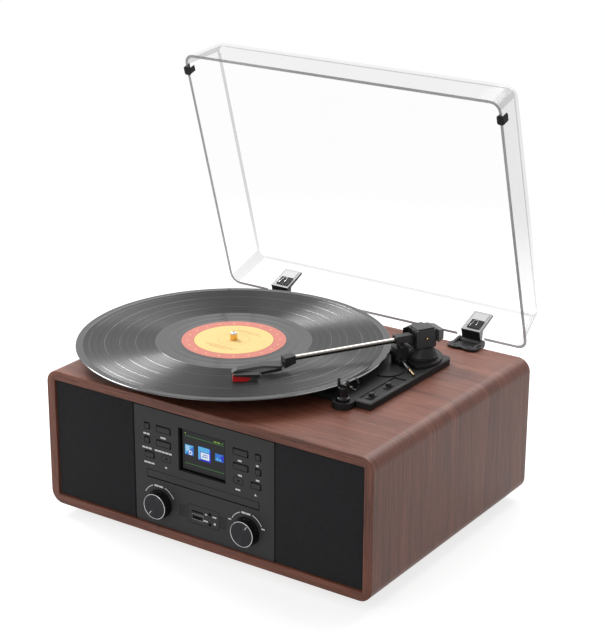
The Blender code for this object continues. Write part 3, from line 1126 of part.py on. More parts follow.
def arm_rest(parent):
    """The post that holds the parked arm, with its fork, and the clip on the fork's right prong."""
    frame = frame_empty("arm_rest_frame", parent, (*rest_place(), DECK_BOTTOM),
                        Matrix.Rotation(math.radians(-REST_ANGLE), 4, "Z"))
    foot = DECK_LEDGE_HEIGHT + 2 * SEAT_GAP
    profile = [(REST_RING_RADIUS, foot), (REST_RING_RADIUS, foot + REST_RING_HEIGHT),
               (REST_POST_RADIUS, foot + REST_RING_HEIGHT), (REST_POST_RADIUS, REST_POST_TOP)]
    post = turned("arm_rest", profile, steps=24)
    low, high, depth = REST_POST_TOP - SEAT_GAP, REST_FORK_TOP, REST_FORK_HALF_DEPTH
    outline = rectangle(-REST_FORK_HALF_WIDTH, REST_FORK_HALF_WIDTH, low, high)
    fork = prism("fork", outline, -depth, depth, "Y")
    slot = rectangle(-REST_SLOT_HALF_WIDTH, REST_SLOT_HALF_WIDTH, REST_SADDLE, high + CUT_OVERRUN)
    pierce(join(post, fork), slot, -depth, depth, "Y")
    lug = rectangle(REST_POST_RADIUS / 2, CLIP_HUB_X, CLIP_HUB_Z - CLIP_PIN_RADIUS,
                    CLIP_HUB_Z + CLIP_PIN_RADIUS)
    pin = circle(CLIP_PIN_RADIUS, (CLIP_HUB_X, CLIP_HUB_Z), 12)
    join(post, prism("lug", lug, CLIP_HALF_DEPTH + RUNNING_GAP, depth, "Y"),
         prism("pin", pin, -CLIP_HALF_DEPTH, depth, "Y"))
    settle(post, frame, finish("arm_rest", (0.02, 0.02, 0.021), 0.35), rounded=True)

    clip_frame = frame_empty("arm_clip_hinge", frame, (CLIP_HUB_X, 0.0, CLIP_HUB_Z))
    half = CLIP_BAR / 2
    inner, outer = CLIP_ARM - half, CLIP_ARM + half
    hook = [(0.0, -half), (outer, -half), (outer, CLIP_FINGER), (inner, CLIP_FINGER), (inner, half),
            (0.0, half)]
    clip = prism("arm_clip", hook, -CLIP_HALF_DEPTH, CLIP_HALF_DEPTH, "Y")
    join(clip, prism("hub", circle(CLIP_HUB_RADIUS, steps=16), -CLIP_HALF_DEPTH, CLIP_HALF_DEPTH, "Y"))
    bore = circle(CLIP_PIN_RADIUS + SEAT_GAP, steps=12)
    pierce(clip, bore, -CLIP_HALF_DEPTH, CLIP_HALF_DEPTH, "Y")
    settle(clip, clip_frame, finish("arm_clip", (0.02, 0.02, 0.021), 0.35))


def slide_switches(parent):
    """The speed switch and the auto-stop switch in the deck's trough."""
    black = finish("switch_plastic", (0.02, 0.02, 0.021), 0.4)
    bottom = DECK_TOP - SWITCH_TROUGH_DEPTH + SEAT_GAP
    for name, y in zip(("speed_switch", "auto_stop_switch"), SWITCH_Y):
        carrier = frame_empty(f"{name}_slide", parent, (SWITCH_X, y, bottom))
        base = oblong(SWITCH_BASE_WIDTH, SWITCH_BASE_LENGTH)
        knob_outline = oblong(SWITCH_KNOB, SWITCH_KNOB)
        switch = solid(name, [(base, 0.0), (base, SWITCH_BASE_HEIGHT), (knob_outline, SWITCH_BASE_HEIGHT),
                              (knob_outline, SWITCH_KNOB_HEIGHT)])
        settle(switch, carrier, black)


def lid_sections(offset, low):
    """Outlines of the lid from its rim to its rounded top, drawn in by an offset."""
    middle_y = -LID_BACK_FROM_AXIS - LID_DEPTH / 2
    half_width, half_depth, corner = LID_WIDTH / 2, LID_DEPTH / 2, LID_CORNER - offset
    return [(rounded_box(half_width - shrink, half_depth - shrink, corner, (0.0, middle_y)), level)
            for shrink, level in lid_edge(offset, low)]


def lid_group(parent):
    """The clear cover with its notches, two rubber bumpers on the rim and the arms of the hinges."""
    opened = Matrix.Rotation(math.radians(-LID_OPEN_ANGLE), 4, "X")
    frame = frame_empty("lid_hinge", parent, (0.0, HINGE_Y, HINGE_Z), opened)
    rim = LID_RIM_ABOVE_AXIS
    lid = solid("lid", lid_sections(0.0, rim))
    cut(lid, solid("inside", lid_sections(LID_WALL, rim - CUT_OVERRUN)))
    for side in (-1, 1):
        notch = rectangle(side * HINGE_X - NOTCH_WIDTH / 2, side * HINGE_X + NOTCH_WIDTH / 2,
                          rim - CUT_OVERRUN, rim + NOTCH_HEIGHT)
        cut(lid, prism("notch", notch, -LID_BACK_FROM_AXIS - 2 * LID_WALL - LID_INSET, 0.0, "Y"))
    settle(lid, frame, finish("clear_acrylic", (0.9, 0.92, 0.93), 0.05), rounded=True)

    rubber = finish("bumper_rubber", (0.015, 0.015, 0.015), 0.7)
    front = -LID_BACK_FROM_AXIS - LID_DEPTH + BUMPER_FROM_FRONT
    for side, side_name in ((-1, "left"), (1, "right")):
        wall_middle = side * (LID_WIDTH / 2 - LID_WALL / 2)
        outline = rounded_box(BUMPER_HALF_WIDTH, BUMPER_LENGTH / 2, BUMPER_HALF_WIDTH / 2,
                              (wall_middle, front), steps=2)
        bottom = rim - BUMPER_FLOOR
        bumper = prism(f"lid_bumper_{side_name}", outline, bottom, bottom + BUMPER_DEPTH)
        lean = BUMPER_DEPTH * LID_DRAFT_SHARE
        slot = oblong(LID_WALL + 4 * SEAT_GAP + lean, 2 * BUMPER_LENGTH,
                      (wall_middle - side * lean / 2, front))
        cut(bumper, prism("slot", slot, rim - SEAT_GAP, rim + BUMPER_DEPTH))
        settle(bumper, frame, rubber)
        hinge(parent, frame, side, side_name)


def hinge(parent, lid_frame, side, side_name):
    """One hinge: a foot on the cabinet's back edge with ears and a pin, and an arm inside the lid's wall."""
    middle = side * HINGE_X
    barrel = HINGE_BARREL_RADIUS
    bottom = -HINGE_ABOVE_CABINET + SEAT_GAP
    foot_top = bottom + HINGE_FOOT_THICKNESS
    foot_back = CABINET_DEPTH - HINGE_Y
    frame = frame_empty(f"hinge_base_{side_name}_frame", parent, (middle, HINGE_Y, HINGE_Z))
    outline = rounded_box(HINGE_FOOT_WIDTH / 2, HINGE_FOOT_DEPTH / 2, barrel,
                          (0.0, foot_back - HINGE_FOOT_DEPTH / 2))
    base = prism(f"hinge_base_{side_name}", outline, bottom, foot_top)
    ear_inner = HINGE_ARM_WIDTH / 2 + RUNNING_GAP
    ear_outer = ear_inner + HINGE_EAR_WIDTH
    for ear_side in (-1, 1):
        low, high = sorted((ear_side * ear_inner, ear_side * ear_outer))
        web = [(0.0, bottom), (0.0, barrel), (foot_back - barrel, foot_top + barrel / 2),
               (foot_back - 3 * barrel, foot_top - SEAT_GAP), (foot_back - 3 * barrel, bottom)]
        join(base, prism("web", web, low, high, "X"), prism("ear", circle(barrel, steps=16), low, high, "X"))
    pin_end = ear_outer - SEAT_GAP
    join(base, prism("pin", circle(HINGE_PIN_RADIUS, steps=12), -pin_end, pin_end, "X"))
    settle(base, frame, finish(f"hinge_base_{side_name}", (0.02, 0.02, 0.02), 0.4))

    def wall_face(level):
        wall = -LID_BACK_FROM_AXIS - LID_WALL - 2 * SEAT_GAP
        return wall - (level - LID_RIM_ABOVE_AXIS) * LID_DRAFT_SHARE
    notch_top = LID_RIM_ABOVE_AXIS + NOTCH_HEIGHT - RUNNING_GAP
    clear = foot_top + RUNNING_GAP
    plate_top = clear + HINGE_ARM_LENGTH
    arm = [(barrel / 2, clear), (wall_face(clear) - 2 * HINGE_ARM_THICKNESS, clear),
           (wall_face(plate_top) - HINGE_ARM_THICKNESS, plate_top), (wall_face(plate_top), plate_top),
           (wall_face(notch_top), notch_top - HINGE_ARM_THICKNESS), (0.0, barrel)]
    half = HINGE_ARM_WIDTH / 2
    strap = prism(f"hinge_arm_{side_name}", arm, -half, half, "X")
    join(strap, prism("knuckle", circle(barrel - SEAT_GAP, steps=24), -half, half, "X"))
    pierce(strap, circle(HINGE_PIN_RADIUS + RUNNING_GAP, steps=12), -half, half, "X")
    moved(strap, (middle, 0.0, 0.0))
    settle(strap, lid_frame, finish(f"hinge_arm_{side_name}", (0.25, 0.25, 0.25), 0.3, 0.5))


def build():
    """The whole record player, hung from one empty at the middle of its footprint."""
    clear_scene()
    middle_x = (SPINDLE_X - RECORD_RADIUS + CABINET_WIDTH / 2) / 2
    middle_y = (SPINDLE_Y - RECORD_RADIUS + lid_reach()) / 2
    player = frame_empty("player_frame", None, (-middle_x, -middle_y, 0.0))
    for piece in (cabinet_shell, feet, rear_panel, front_panel, grilles_and_speakers, buttons, display,
                  control_board, socket_block, disc_drawer, disc_drive, main_board, deck_plate,
                  motor_and_pulley, drive_belt, platter_group, tonearm_base, cue_lift, tonearm, arm_rest,
                  slide_switches, lid_group):
        piece(player)
    knob("tuning_knob", -1, player)
    knob("volume_knob", 1, player)


build()
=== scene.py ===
"""The record player as it looks: veneer, cloth, plastics, vinyl, metal and a clear lid."""
import math

import bmesh
import bpy
from mathutils import Matrix, Vector


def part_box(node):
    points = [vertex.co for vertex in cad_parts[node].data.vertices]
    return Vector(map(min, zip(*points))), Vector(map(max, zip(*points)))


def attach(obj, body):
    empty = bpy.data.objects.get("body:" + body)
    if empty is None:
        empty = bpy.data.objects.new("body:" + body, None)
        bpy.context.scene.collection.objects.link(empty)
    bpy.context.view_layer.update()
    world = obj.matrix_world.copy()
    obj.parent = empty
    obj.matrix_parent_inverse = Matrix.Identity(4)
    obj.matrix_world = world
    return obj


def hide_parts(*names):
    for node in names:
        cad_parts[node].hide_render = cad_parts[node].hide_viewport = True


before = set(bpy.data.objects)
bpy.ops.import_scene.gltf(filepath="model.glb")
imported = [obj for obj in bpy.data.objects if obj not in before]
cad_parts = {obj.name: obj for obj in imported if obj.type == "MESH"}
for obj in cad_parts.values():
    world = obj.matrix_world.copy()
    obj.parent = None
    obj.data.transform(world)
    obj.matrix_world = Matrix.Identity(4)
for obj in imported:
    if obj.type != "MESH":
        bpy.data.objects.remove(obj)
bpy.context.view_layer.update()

# The camera stands to the right of the front and a little above, with a long lens.
# Places are in the cabinet's own frame: x from its middle, y from its front edge, z from the table.
cabinet_low, cabinet_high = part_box("cabinet_shell")
CABINET = Matrix.Translation(((cabinet_low.x + cabinet_high.x) / 2, cabinet_low.y, 0.0))
CAMERA_AZIMUTH = math.radians(34.1363)
CAMERA_ELEVATION = math.radians(20.1674)
CAMERA_ROLL = math.radians(0.2932)
CAMERA_DISTANCE = 1.7328
CAMERA_AIM = Vector((0.0074, 0.15, 0.1903))
CAMERA_LENS = 103.412
SENSOR_WIDTH = 36.0
NEAREST_SEEN = 0.05


def into_scene(name, data):
    """A new object that holds some data, in the scene."""
    item = bpy.data.objects.new(name, data)
    bpy.context.scene.collection.objects.link(item)
    return item


camera = into_scene("camera", bpy.data.cameras.new("camera"))
camera.data.lens = CAMERA_LENS
camera.data.sensor_width = SENSOR_WIDTH
camera.data.clip_start = NEAREST_SEEN
camera_turn = (Matrix.Rotation(CAMERA_AZIMUTH, 4, "Z")
               @ Matrix.Rotation(math.pi / 2 - CAMERA_ELEVATION, 4, "X")
               @ Matrix.Rotation(CAMERA_ROLL, 4, "Z"))
camera.matrix_world = (CABINET @ Matrix.Translation(CAMERA_AIM) @ camera_turn
                       @ Matrix.Translation((0.0, 0.0, CAMERA_DISTANCE)))
bpy.context.scene.camera = camera
bpy.context.scene.view_settings.view_transform = "Standard"


# The floor is plain white paper, lit softly, and the player's shadow falls on it.
# Cameras, mirrors and clear plastic see the same white all round, and the floor fades into it far out.
FLOOR_HALF = 1.2
FADE_START, FADE_END = 0.45, 1.1
FLOOR_GREY = (0.40, 0.40, 0.40)
FLOOR_GLOW = 0.76
ROOM_LEVEL = 0.44
WHITE = (1.0, 1.0, 1.0, 1.0)


def add(tree, kind, settings=None, **inputs):
    """One shader node. Its inputs are values or sockets, by name or by number."""
    made = tree.nodes.new(kind)
    for name, value in (settings or {}).items():
        setattr(made, name, value)
    for name, value in inputs.items():
        socket = made.inputs[int(name[2:])] if name.startswith("at") else made.inputs[name.replace("_", " ")]
        if isinstance(value, bpy.types.NodeSocket):
            tree.links.new(value, socket)
        else:
            socket.default_value = value
    return made


def drive(node, **sockets):
    """Let values that change over the surface set a node's inputs."""
    for name, value in sockets.items():
        node.id_data.links.new(value, node.inputs[name.replace("_", " ")])


def maths(tree, operation, first, second=0.0):
    """A math node's result."""
    return add(tree, "ShaderNodeMath", {"operation": operation}, at0=first, at1=second).outputs[0]


def vectors(tree, operation, first, second=(0.0, 0.0, 0.0)):
    """A vector math node's results, by name."""
    return add(tree, "ShaderNodeVectorMath", {"operation": operation}, at0=first, at1=second).outputs


def between(tree, mask, low, high, start=0.0, stop=1.0, kind="LINEAR"):
    """A value that goes from low to high while a mask goes from start to stop."""
    return add(tree, "ShaderNodeMapRange", {"interpolation_type": kind}, Value=mask, From_Min=start,
               From_Max=stop, To_Min=low, To_Max=high).outputs[0]


def on_piece(tree):
    """Places on a piece, which move with it."""
    return add(tree, "ShaderNodeTexCoord").outputs["Object"]


def sees_background(tree):
    """1 for rays from the camera, from a reflection or through clear plastic."""
    path = add(tree, "ShaderNodeLightPath").outputs
    glossy = maths(tree, "MAXIMUM", path["Is Camera Ray"], path["Is Glossy Ray"])
    return maths(tree, "MAXIMUM", glossy, path["Is Transmission Ray"])


def blank(name, colour, roughness, **plain):
    """A material with its plain values set, and its tree and shader."""
    material = bpy.data.materials.new(name)
    material.use_nodes = True
    shader = material.node_tree.nodes["Principled BSDF"]
    shader.inputs["Base Color"].default_value = (*colour, 1.0)
    shader.inputs["Roughness"].default_value = roughness
    for socket, value in plain.items():
        shader.inputs[socket.replace("_", " ")].default_value = value
    return material, material.node_tree, shader


world = bpy.data.worlds.new("white_room")
world.use_nodes = True
bpy.context.scene.world = world
air = world.node_tree.nodes["Background"]
air.inputs["Color"].default_value = WHITE
drive(air, Strength=between(world.node_tree, sees_background(world.node_tree), ROOM_LEVEL, 1.0))

floor_mesh = bpy.data.meshes.new("floor")
floor_corners = [(x * FLOOR_HALF, y * FLOOR_HALF, 0) for x, y in ((-1, -1), (1, -1), (1, 1), (-1, 1))]
floor_mesh.from_pydata(floor_corners, [], [(0, 1, 2, 3)])
floor = into_scene("floor", floor_mesh)
paper, tree, shader = blank("white_paper", FLOOR_GREY, 0.9, Specular_IOR_Level=0.0)
glow_level = between(tree, sees_background(tree), 0.0, FLOOR_GLOW)
glow = add(tree, "ShaderNodeEmission", Color=WHITE, Strength=glow_level)
both = add(tree, "ShaderNodeAddShader", at0=shader.outputs[0], at1=glow.outputs[0])
reach = vectors(tree, "LENGTH", on_piece(tree))["Value"]
fade = between(tree, reach, 0.0, 1.0, FADE_START, FADE_END, "SMOOTHSTEP")
see_through = add(tree, "ShaderNodeBsdfTransparent")
faded = add(tree, "ShaderNodeMixShader", at0=fade, at1=both.outputs[0], at2=see_through.outputs[0])
drive(tree.nodes["Material Output"], Surface=faded.outputs[0])
floor_mesh.materials.append(paper)


# Three square softboxes light the player. The left one is the brightest, and the record's grooves catch it
# as two fans. A weak one stands in front, and a broad one behind and above.
LAMP_AIM = Vector((0.0, 0.14, 0.15))
LAMPS = {"left_softbox": ((-0.74, 0.16, 0.66), 2.2, 0.8, 46.0),
         "front_softbox": ((-0.10, -0.9, 0.55), 2.6, 1.4, 14.0),
         "rear_softbox": ((0.0, 0.75, 0.85), 2.4, 1.6, 30.0)}
for name, (direction, distance, size, watts) in LAMPS.items():
    lamp = into_scene(name, bpy.data.lights.new(name, "AREA"))
    lamp.data.size = size
    lamp.data.energy = watts
    way = Vector(direction).normalized()
    lamp.location = CABINET @ LAMP_AIM + way * distance
    lamp.rotation_mode = "QUATERNION"
    lamp.rotation_quaternion = way.to_track_quat("Z", "Y")


# The cabinet is a board folded round four sides and covered with walnut veneer, open at front and back.
# The grain runs round the fold: left to right on top, and up and down at the sides.
# A round hole in the top takes the drive under the platter.
WALL = 0.0093
OUTER_CORNER = 0.013
INNER_CORNER = 0.0015
SOFT = 0.0006
WELL_HOLE = 0.0895
SPINDLE = Vector((-0.0562, 0.127, 0.0))
PORE_SHADE = (0.42, 0.38, 0.36, 1.0)
WALNUT_DARK = (0.062, 0.018, 0.010, 1.0)
WALNUT_MIDDLE = (0.150, 0.048, 0.028, 1.0)
WALNUT_PALE = (0.270, 0.100, 0.063, 1.0)
VENEER_RELIEF = 0.00006
half_width = (cabinet_high.x - cabinet_low.x) / 2
depth = cabinet_high.y - cabinet_low.y
bottom, top = cabinet_low.z, cabinet_high.z
half_height = (top - bottom) / 2


def circle(radius, centre=(0.0, 0.0), steps=96):
    """Points round a circle."""
    turns = [2 * math.pi * step / steps for step in range(steps)]
    return [(centre[0] + radius * math.cos(turn), centre[1] + radius * math.sin(turn)) for turn in turns]


def rounded_box(half_wide, half_high, corner, centre=(0.0, 0.0), steps=8):
    """Points round a rectangle with round corners."""
    points = []
    for quarter, (side_a, side_b) in enumerate(((1, 1), (-1, 1), (-1, -1), (1, -1))):
        for step in range(steps + 1):
            turn = math.pi / 2 * (quarter + step / steps)
            points.append((centre[0] + side_a * (half_wide - corner) + corner * math.cos(turn),
                           centre[1] + side_b * (half_high - corner) + corner * math.sin(turn)))
    return points


def skin(body, loops, closed=False):
    """Join each loop of corners to the next. The row of loops is capped, or closed on itself."""
    pairs = list(zip(loops, loops[1:]))
    if closed:
        pairs.append((loops[-1], loops[0]))
    else:
        body.faces.new(loops[0])
        body.faces.new(loops[-1])
    for lower, upper in pairs:
        for start, end in zip(range(-1, len(lower) - 1), range(len(lower))):
            body.faces.new((lower[start], lower[end], upper[end], upper[start]))
    bmesh.ops.recalc_face_normals(body, faces=body.faces)
    return body


def loft(rings, axis="Z", closed=False):
    """A body through outlines of equal point count, each an (outline, level) pair along an axis."""
    turn = {"Z": lambda a, b, level: (a, b, level), "Y": lambda a, b, level: (a, level, b),
            "X": lambda a, b, level: (level, a, b)}[axis]
    body = bmesh.new()
    loops = [[body.verts.new(turn(a, b, level)) for a, b in outline] for outline, level in rings]
    return skin(body, loops, closed)


def slab(outline, low, high, axis="Z"):
    """An outline drawn straight from one level to another."""
    return loft([(outline, low), (outline, high)], axis)


def carve(target, *tools):
    """Cut bodies out of a body, and give back the new one."""
    holders = []
    for body in (target, *tools):
        mesh = bpy.data.meshes.new("body")
        body.to_mesh(mesh)
        body.free()
        holders.append(into_scene("body", mesh))
    for cutter in holders[1:]:
        cut = holders[0].modifiers.new("cut", "BOOLEAN")
        cut.object = cutter
        cut.solver = "EXACT"
    bpy.context.view_layer.update()
    result = bmesh.new()
    result.from_object(holders[0], bpy.context.evaluated_depsgraph_get())
    for holder in holders:
        bpy.data.objects.remove(holder)
    return result


def piece(name, body, material, carrier, place=CABINET, stands_for=(), edge=0.0, angle=35.0):
    """A visible piece: its mesh in its place, its materials, soft edges and the body that carries it."""
    mesh = bpy.data.meshes.new(name)
    body.to_mesh(mesh)
    body.free()
    mesh.transform(place)
    made = into_scene(name, mesh)
    for item in material if isinstance(material, tuple) else (material,):
        mesh.materials.append(item)
    mesh.shade_smooth()
    mesh.set_sharp_from_angle(angle=math.radians(angle))
    if edge:
        bevel = made.modifiers.new("soft_edges", "BEVEL")
        bevel.width = edge
        bevel.segments = 2
        bevel.angle_limit = math.radians(30.0)
        bevel.harden_normals = True
    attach(made, carrier)
    if stands_for:
        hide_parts(*stands_for)
    return made


def along_wrap(x, z):
    """How far round the fold a point lies, and how deep under the outer face."""
    low_side = abs(z - bottom) < abs(z - top) and abs(z - bottom) < half_width - abs(x)
    flat = half_width - OUTER_CORNER
    rise = top - OUTER_CORNER
    side = 1 if x >= 0 else -1
    if low_side:
        return 2.0 + x, z - bottom
    if abs(x) <= flat and top - z < half_width - abs(x):
        return x, top - z
    if z <= rise:
        return side * (flat + OUTER_CORNER * math.pi / 2 + rise - z), half_width - abs(x)
    turn = math.atan2(abs(x) - flat, z - rise)
    return side * (flat + OUTER_CORNER * turn), OUTER_CORNER - math.hypot(abs(x) - flat, z - rise)


def new_group(name, takes, gives):
    """A node group with named inputs and outputs, and the node that its results go to."""
    group = bpy.data.node_groups.new(name, "ShaderNodeTree")
    for way, sockets in (("INPUT", takes), ("OUTPUT", gives)):
        for socket, kind in sockets.items():
            group.interface.new_socket(socket, in_out=way, socket_type=f"NodeSocket{kind}")
    return group, group.nodes.new("NodeGroupOutput")


def noise(tree, place, scale, detail, **more):
    """Soft random mottling."""
    return add(tree, "ShaderNodeTexNoise", Vector=place, Scale=scale, Detail=detail, **more).outputs[0]


def weighed(tree, *masks):
    """The sum of masks, each times its own weight."""
    total = None
    for mask, weight in masks:
        part = maths(tree, "MULTIPLY", mask, weight)
        total = part if total is None else maths(tree, "ADD", total, part)
    return total


def bumped(tree, height, distance, strength):
    """A normal that follows a relief of this depth."""
    return add(tree, "ShaderNodeBump", Height=height, Distance=distance, Strength=strength).outputs[0]


def walnut_group():
    """A node group: the veneer's colour, roughness and height from the wrap's own coordinates."""
    group, leave = new_group("walnut_figure", {}, {"Color": "Color", "Roughness": "Float", "Height": "Float"})
    place = add(group, "ShaderNodeUVMap", {"uv_map": "wrap"}).outputs[0]

    def streaks(along, across, detail, distortion=0.0, roughness=0.5):
        stretched = vectors(group, "MULTIPLY", place, (along, across, 1.0))["Vector"]
        return noise(group, stretched, 1.0, detail, Distortion=distortion, Roughness=roughness)
    figure = streaks(4.0, 60.0, 6.0, 0.8, 0.6)
    lines = streaks(12.0, 520.0, 4.0, 0.2, 0.65)
    threads = streaks(45.0, 1900.0, 2.0)
    pores = add(group, "ShaderNodeValToRGB", Fac=streaks(70.0, 1500.0, 2.0, 0.0, 0.6))
    closed_pore, open_wood = pores.color_ramp.elements
    closed_pore.position, closed_pore.color = 0.30, PORE_SHADE
    open_wood.position = 0.44
    mixed = weighed(group, (figure, 0.34), (lines, 0.48), (threads, 0.18))
    tone = add(group, "ShaderNodeValToRGB", Fac=mixed)
    ramp = tone.color_ramp.elements
    ramp[0].position, ramp[0].color = 0.37, WALNUT_DARK
    ramp[1].position, ramp[1].color = 0.63, WALNUT_PALE
    ramp.new(0.49).color = WALNUT_MIDDLE
    colour = add(group, "ShaderNodeMix", {"data_type": "RGBA", "blend_type": "MULTIPLY"}, at0=1.0,
                 at6=tone.outputs[0], at7=pores.outputs[0])
    drive(leave, Color=colour.outputs[2], Roughness=between(group, lines, 0.34, 0.50),
          Height=pores.outputs[0])
    return group


def shell_outline(inset, corner):
    """The shell's outline seen from the front, drawn in by an inset."""
    return rounded_box(half_width - inset, half_height - inset, corner, (0.0, (bottom + top) / 2), 16)


veneer, tree, shader = blank("walnut_veneer", (0.13, 0.05, 0.03), 0.4, Specular_IOR_Level=0.38)
walnut = add(tree, "ShaderNodeGroup", {"node_tree": walnut_group()}).outputs
drive(shader, Base_Color=walnut["Color"], Roughness=walnut["Roughness"],
      Normal=bumped(tree, walnut["Height"], VENEER_RELIEF, 0.6))
outer, outer_soft = shell_outline(0.0, OUTER_CORNER), shell_outline(SOFT, OUTER_CORNER - SOFT)
inner, inner_soft = shell_outline(WALL, INNER_CORNER), shell_outline(WALL - SOFT / 2, INNER_CORNER + SOFT / 2)
rings = [(outer_soft, 0.0), (outer, SOFT), (outer, depth - SOFT), (outer_soft, depth),
         (inner_soft, depth), (inner, depth - SOFT), (inner, SOFT), (inner_soft, 0.0)]
well = slab(circle(WELL_HOLE, SPINDLE[:2]), top - 2 * WALL, top + WALL)
shell = carve(loft(rings, "Y", closed=True), well)
wrap = shell.loops.layers.uv.new("wrap")
for face in shell.faces:
    for corner in face.loops:
        round_fold, deep = along_wrap(corner.vert.co.x, corner.vert.co.z)
        corner[wrap].uv = (round_fold, corner.vert.co.y + deep)
piece("cabinet_veneer", shell, veneer, "cabinet", stands_for=("cabinet_shell",), angle=40.0)


# Four rubber feet stand under the corners, each held by a steel screw in its hollow.
# Moulded rubber, plastic, paint and polished metal share one fine grain, seen as soft mottling and tiny
# bumps. Each finish sets its own scale and depth.
FOOT_TOP = bottom - 0.0003
FOOT_RADIUS = 0.012
HOLLOW_RADIUS, HOLLOW_DEPTH = 0.0045, 0.004
FOOT_PROFILE = [(HOLLOW_RADIUS, HOLLOW_DEPTH), (HOLLOW_RADIUS, 0.0), (0.0092, 0.0), (0.0099, 0.0004),
                (0.0104, 0.0016), (0.0118, FOOT_TOP - 0.0016), (FOOT_RADIUS, FOOT_TOP - 0.0008),
                (FOOT_RADIUS, FOOT_TOP)]
FOOT_SCREW = [(0.0032, 0.0040), (0.0034, 0.0032), (0.0028, 0.0024)]
NARROWEST = 0.00005
AS_PACKED = Matrix.Identity(4)


def grain_group():
    """A node group: scale in, mottling and height out."""
    group, leave = new_group("moulded_grain", {"Scale": "Float"}, {"Mottling": "Float", "Height": "Float"})
    scale = group.nodes.new("NodeGroupInput").outputs["Scale"]
    place = on_piece(group)
    drive(leave, Mottling=noise(group, place, maths(group, "MULTIPLY", scale, 0.03), 4.0),
          Height=noise(group, place, scale, 3.0))
    return group


GRAIN = grain_group()


def tint(tree, mask, dark, light):
    """A colour that follows a mask from dark to light."""
    blend = add(tree, "ShaderNodeMix", {"data_type": "RGBA"}, at0=mask, at6=(*dark, 1.0), at7=(*light, 1.0))
    return blend.outputs[2]


def moulded(name, colour, roughness, scale=900.0, depth=0.00004, spread=0.25, **plain):
    """A grained finish: colour and roughness vary a little, and the surface has a fine bump."""
    material, tree, shader = blank(name, colour, roughness, **plain)
    grain = add(tree, "ShaderNodeGroup", {"node_tree": GRAIN}, Scale=scale).outputs
    dark = [channel * (1 - spread) for channel in colour]
    light = [channel * (1 + spread) for channel in colour]
    drive(shader, Base_Color=tint(tree, grain["Mottling"], dark, light),
          Roughness=between(tree, grain["Mottling"], roughness * 0.85, min(roughness * 1.15, 1.0)),
          Normal=bumped(tree, grain["Height"], depth, 0.8))
    return material


def turned(profile, axis="Z", centre=(0.0, 0.0), steps=96):
    """A round body from (radius, level) pairs."""
    return loft([(circle(max(radius, NARROWEST), centre, steps), level) for radius, level in profile], axis)


def box_middle(node, ways):
    """The middle of a CAD node's box, in two directions."""
    low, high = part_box(node)
    return tuple((getattr(low, way) + getattr(high, way)) / 2 for way in ways)


RUBBER = moulded("black_rubber", (0.010, 0.010, 0.010), 0.75, scale=600.0, Specular_IOR_Level=0.3)
STEEL = moulded("bright_steel", (0.52, 0.52, 0.53), 0.24, depth=0.000004, spread=0.08, Metallic=1.0)
for node in ("foot_front_left", "foot_front_right", "foot_back_left", "foot_back_right"):
    centre = box_middle(node, "xy")
    foot = turned(FOOT_PROFILE, centre=centre, steps=48)
    piece(f"{node}_rubber", foot, RUBBER, "cabinet", AS_PACKED, (node,))
    piece(f"{node}_screw", turned(FOOT_SCREW, centre=centre, steps=24), STEEL, "cabinet", AS_PACKED)


# The control face is an injection moulding in black plastic with a fine matte grain, let into the front.
# Vent slots are moulded in it beside the sockets. Near-black strips at its top and at each side are the joint
# and painted shade in it, widest at the top.
VENT_Z = (0.0372, 0.0393, 0.0414, 0.0435, 0.0456, 0.0477)
VENT_X = ((-0.0283, -0.0192), (0.0176, 0.0266))
VENT_SLOT = 0.0005
VENT_DEPTH = 0.0008
FACE_JOINT = 0.0009
JOINT_BACK, JOINT_FRONT = 0.0001, 0.0002
MERGE_DISTANCE = 0.000002
FACE_PLASTIC = moulded("face_plastic", (0.018, 0.018, 0.019), 0.55, Specular_IOR_Level=0.35)
# Near-black for painted shade: it fills joints and holes where the inside is dark.
PAINTED_GAP_SHADE = moulded("painted_gap_shade", (0.003, 0.003, 0.003), 0.8, Specular_IOR_Level=0.1)


def rectangle(low_a, high_a, low_b, high_b):
    """The corners of a plain rectangle."""
    return [(low_a, low_b), (high_a, low_b), (high_a, high_b), (low_a, high_b)]


def gather(*bodies):
    """Several bodies in one."""
    whole = bodies[0]
    for other in bodies[1:]:
        mesh = bpy.data.meshes.new("part")
        other.to_mesh(mesh)
        other.free()
        whole.from_mesh(mesh)
        bpy.data.meshes.remove(mesh)
    return whole


def shape_of(node):
    """A CAD node's own shape with its facets merged."""
    body = bmesh.new()
    body.from_mesh(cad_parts[node].data)
    body.transform(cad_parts[node].matrix_world)
    bmesh.ops.remove_doubles(body, verts=body.verts, dist=MERGE_DISTANCE)
    bmesh.ops.dissolve_limit(body, angle_limit=math.radians(1.0), verts=body.verts, edges=body.edges)
    return body


panel_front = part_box("front_panel")[0].y - CABINET.translation.y
vents = gather(*(slab(rectangle(low, high, z - VENT_SLOT / 2, z + VENT_SLOT / 2), panel_front - VENT_DEPTH,
                      panel_front + VENT_DEPTH, "Y") for low, high in VENT_X for z in VENT_Z))
vents.transform(CABINET)
control_face = carve(shape_of("front_panel"), vents)
piece("control_face", control_face, FACE_PLASTIC, "cabinet", AS_PACKED, ("front_panel",), 0.0002)
face_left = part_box("grille_left")[1].x - CABINET.translation.x
face_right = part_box("grille_right")[0].x - CABINET.translation.x
face_top, face_bottom = top - WALL, bottom + WALL
shaded_joints = [rectangle(face_left, face_right, face_top - 2 * FACE_JOINT, face_top),
          rectangle(face_left, face_left + FACE_JOINT, face_bottom, face_top),
          rectangle(face_right - FACE_JOINT / 2, face_right, face_bottom, face_top)]
# Each strip is partly the joint and partly painted shade: its width follows where the shade falls.
for number, outline in enumerate(shaded_joints, 1):
    joint = slab(outline, panel_front - JOINT_BACK, panel_front + JOINT_FRONT, "Y")
    piece(f"face_joint_{number}", joint, PAINTED_GAP_SHADE, "cabinet")


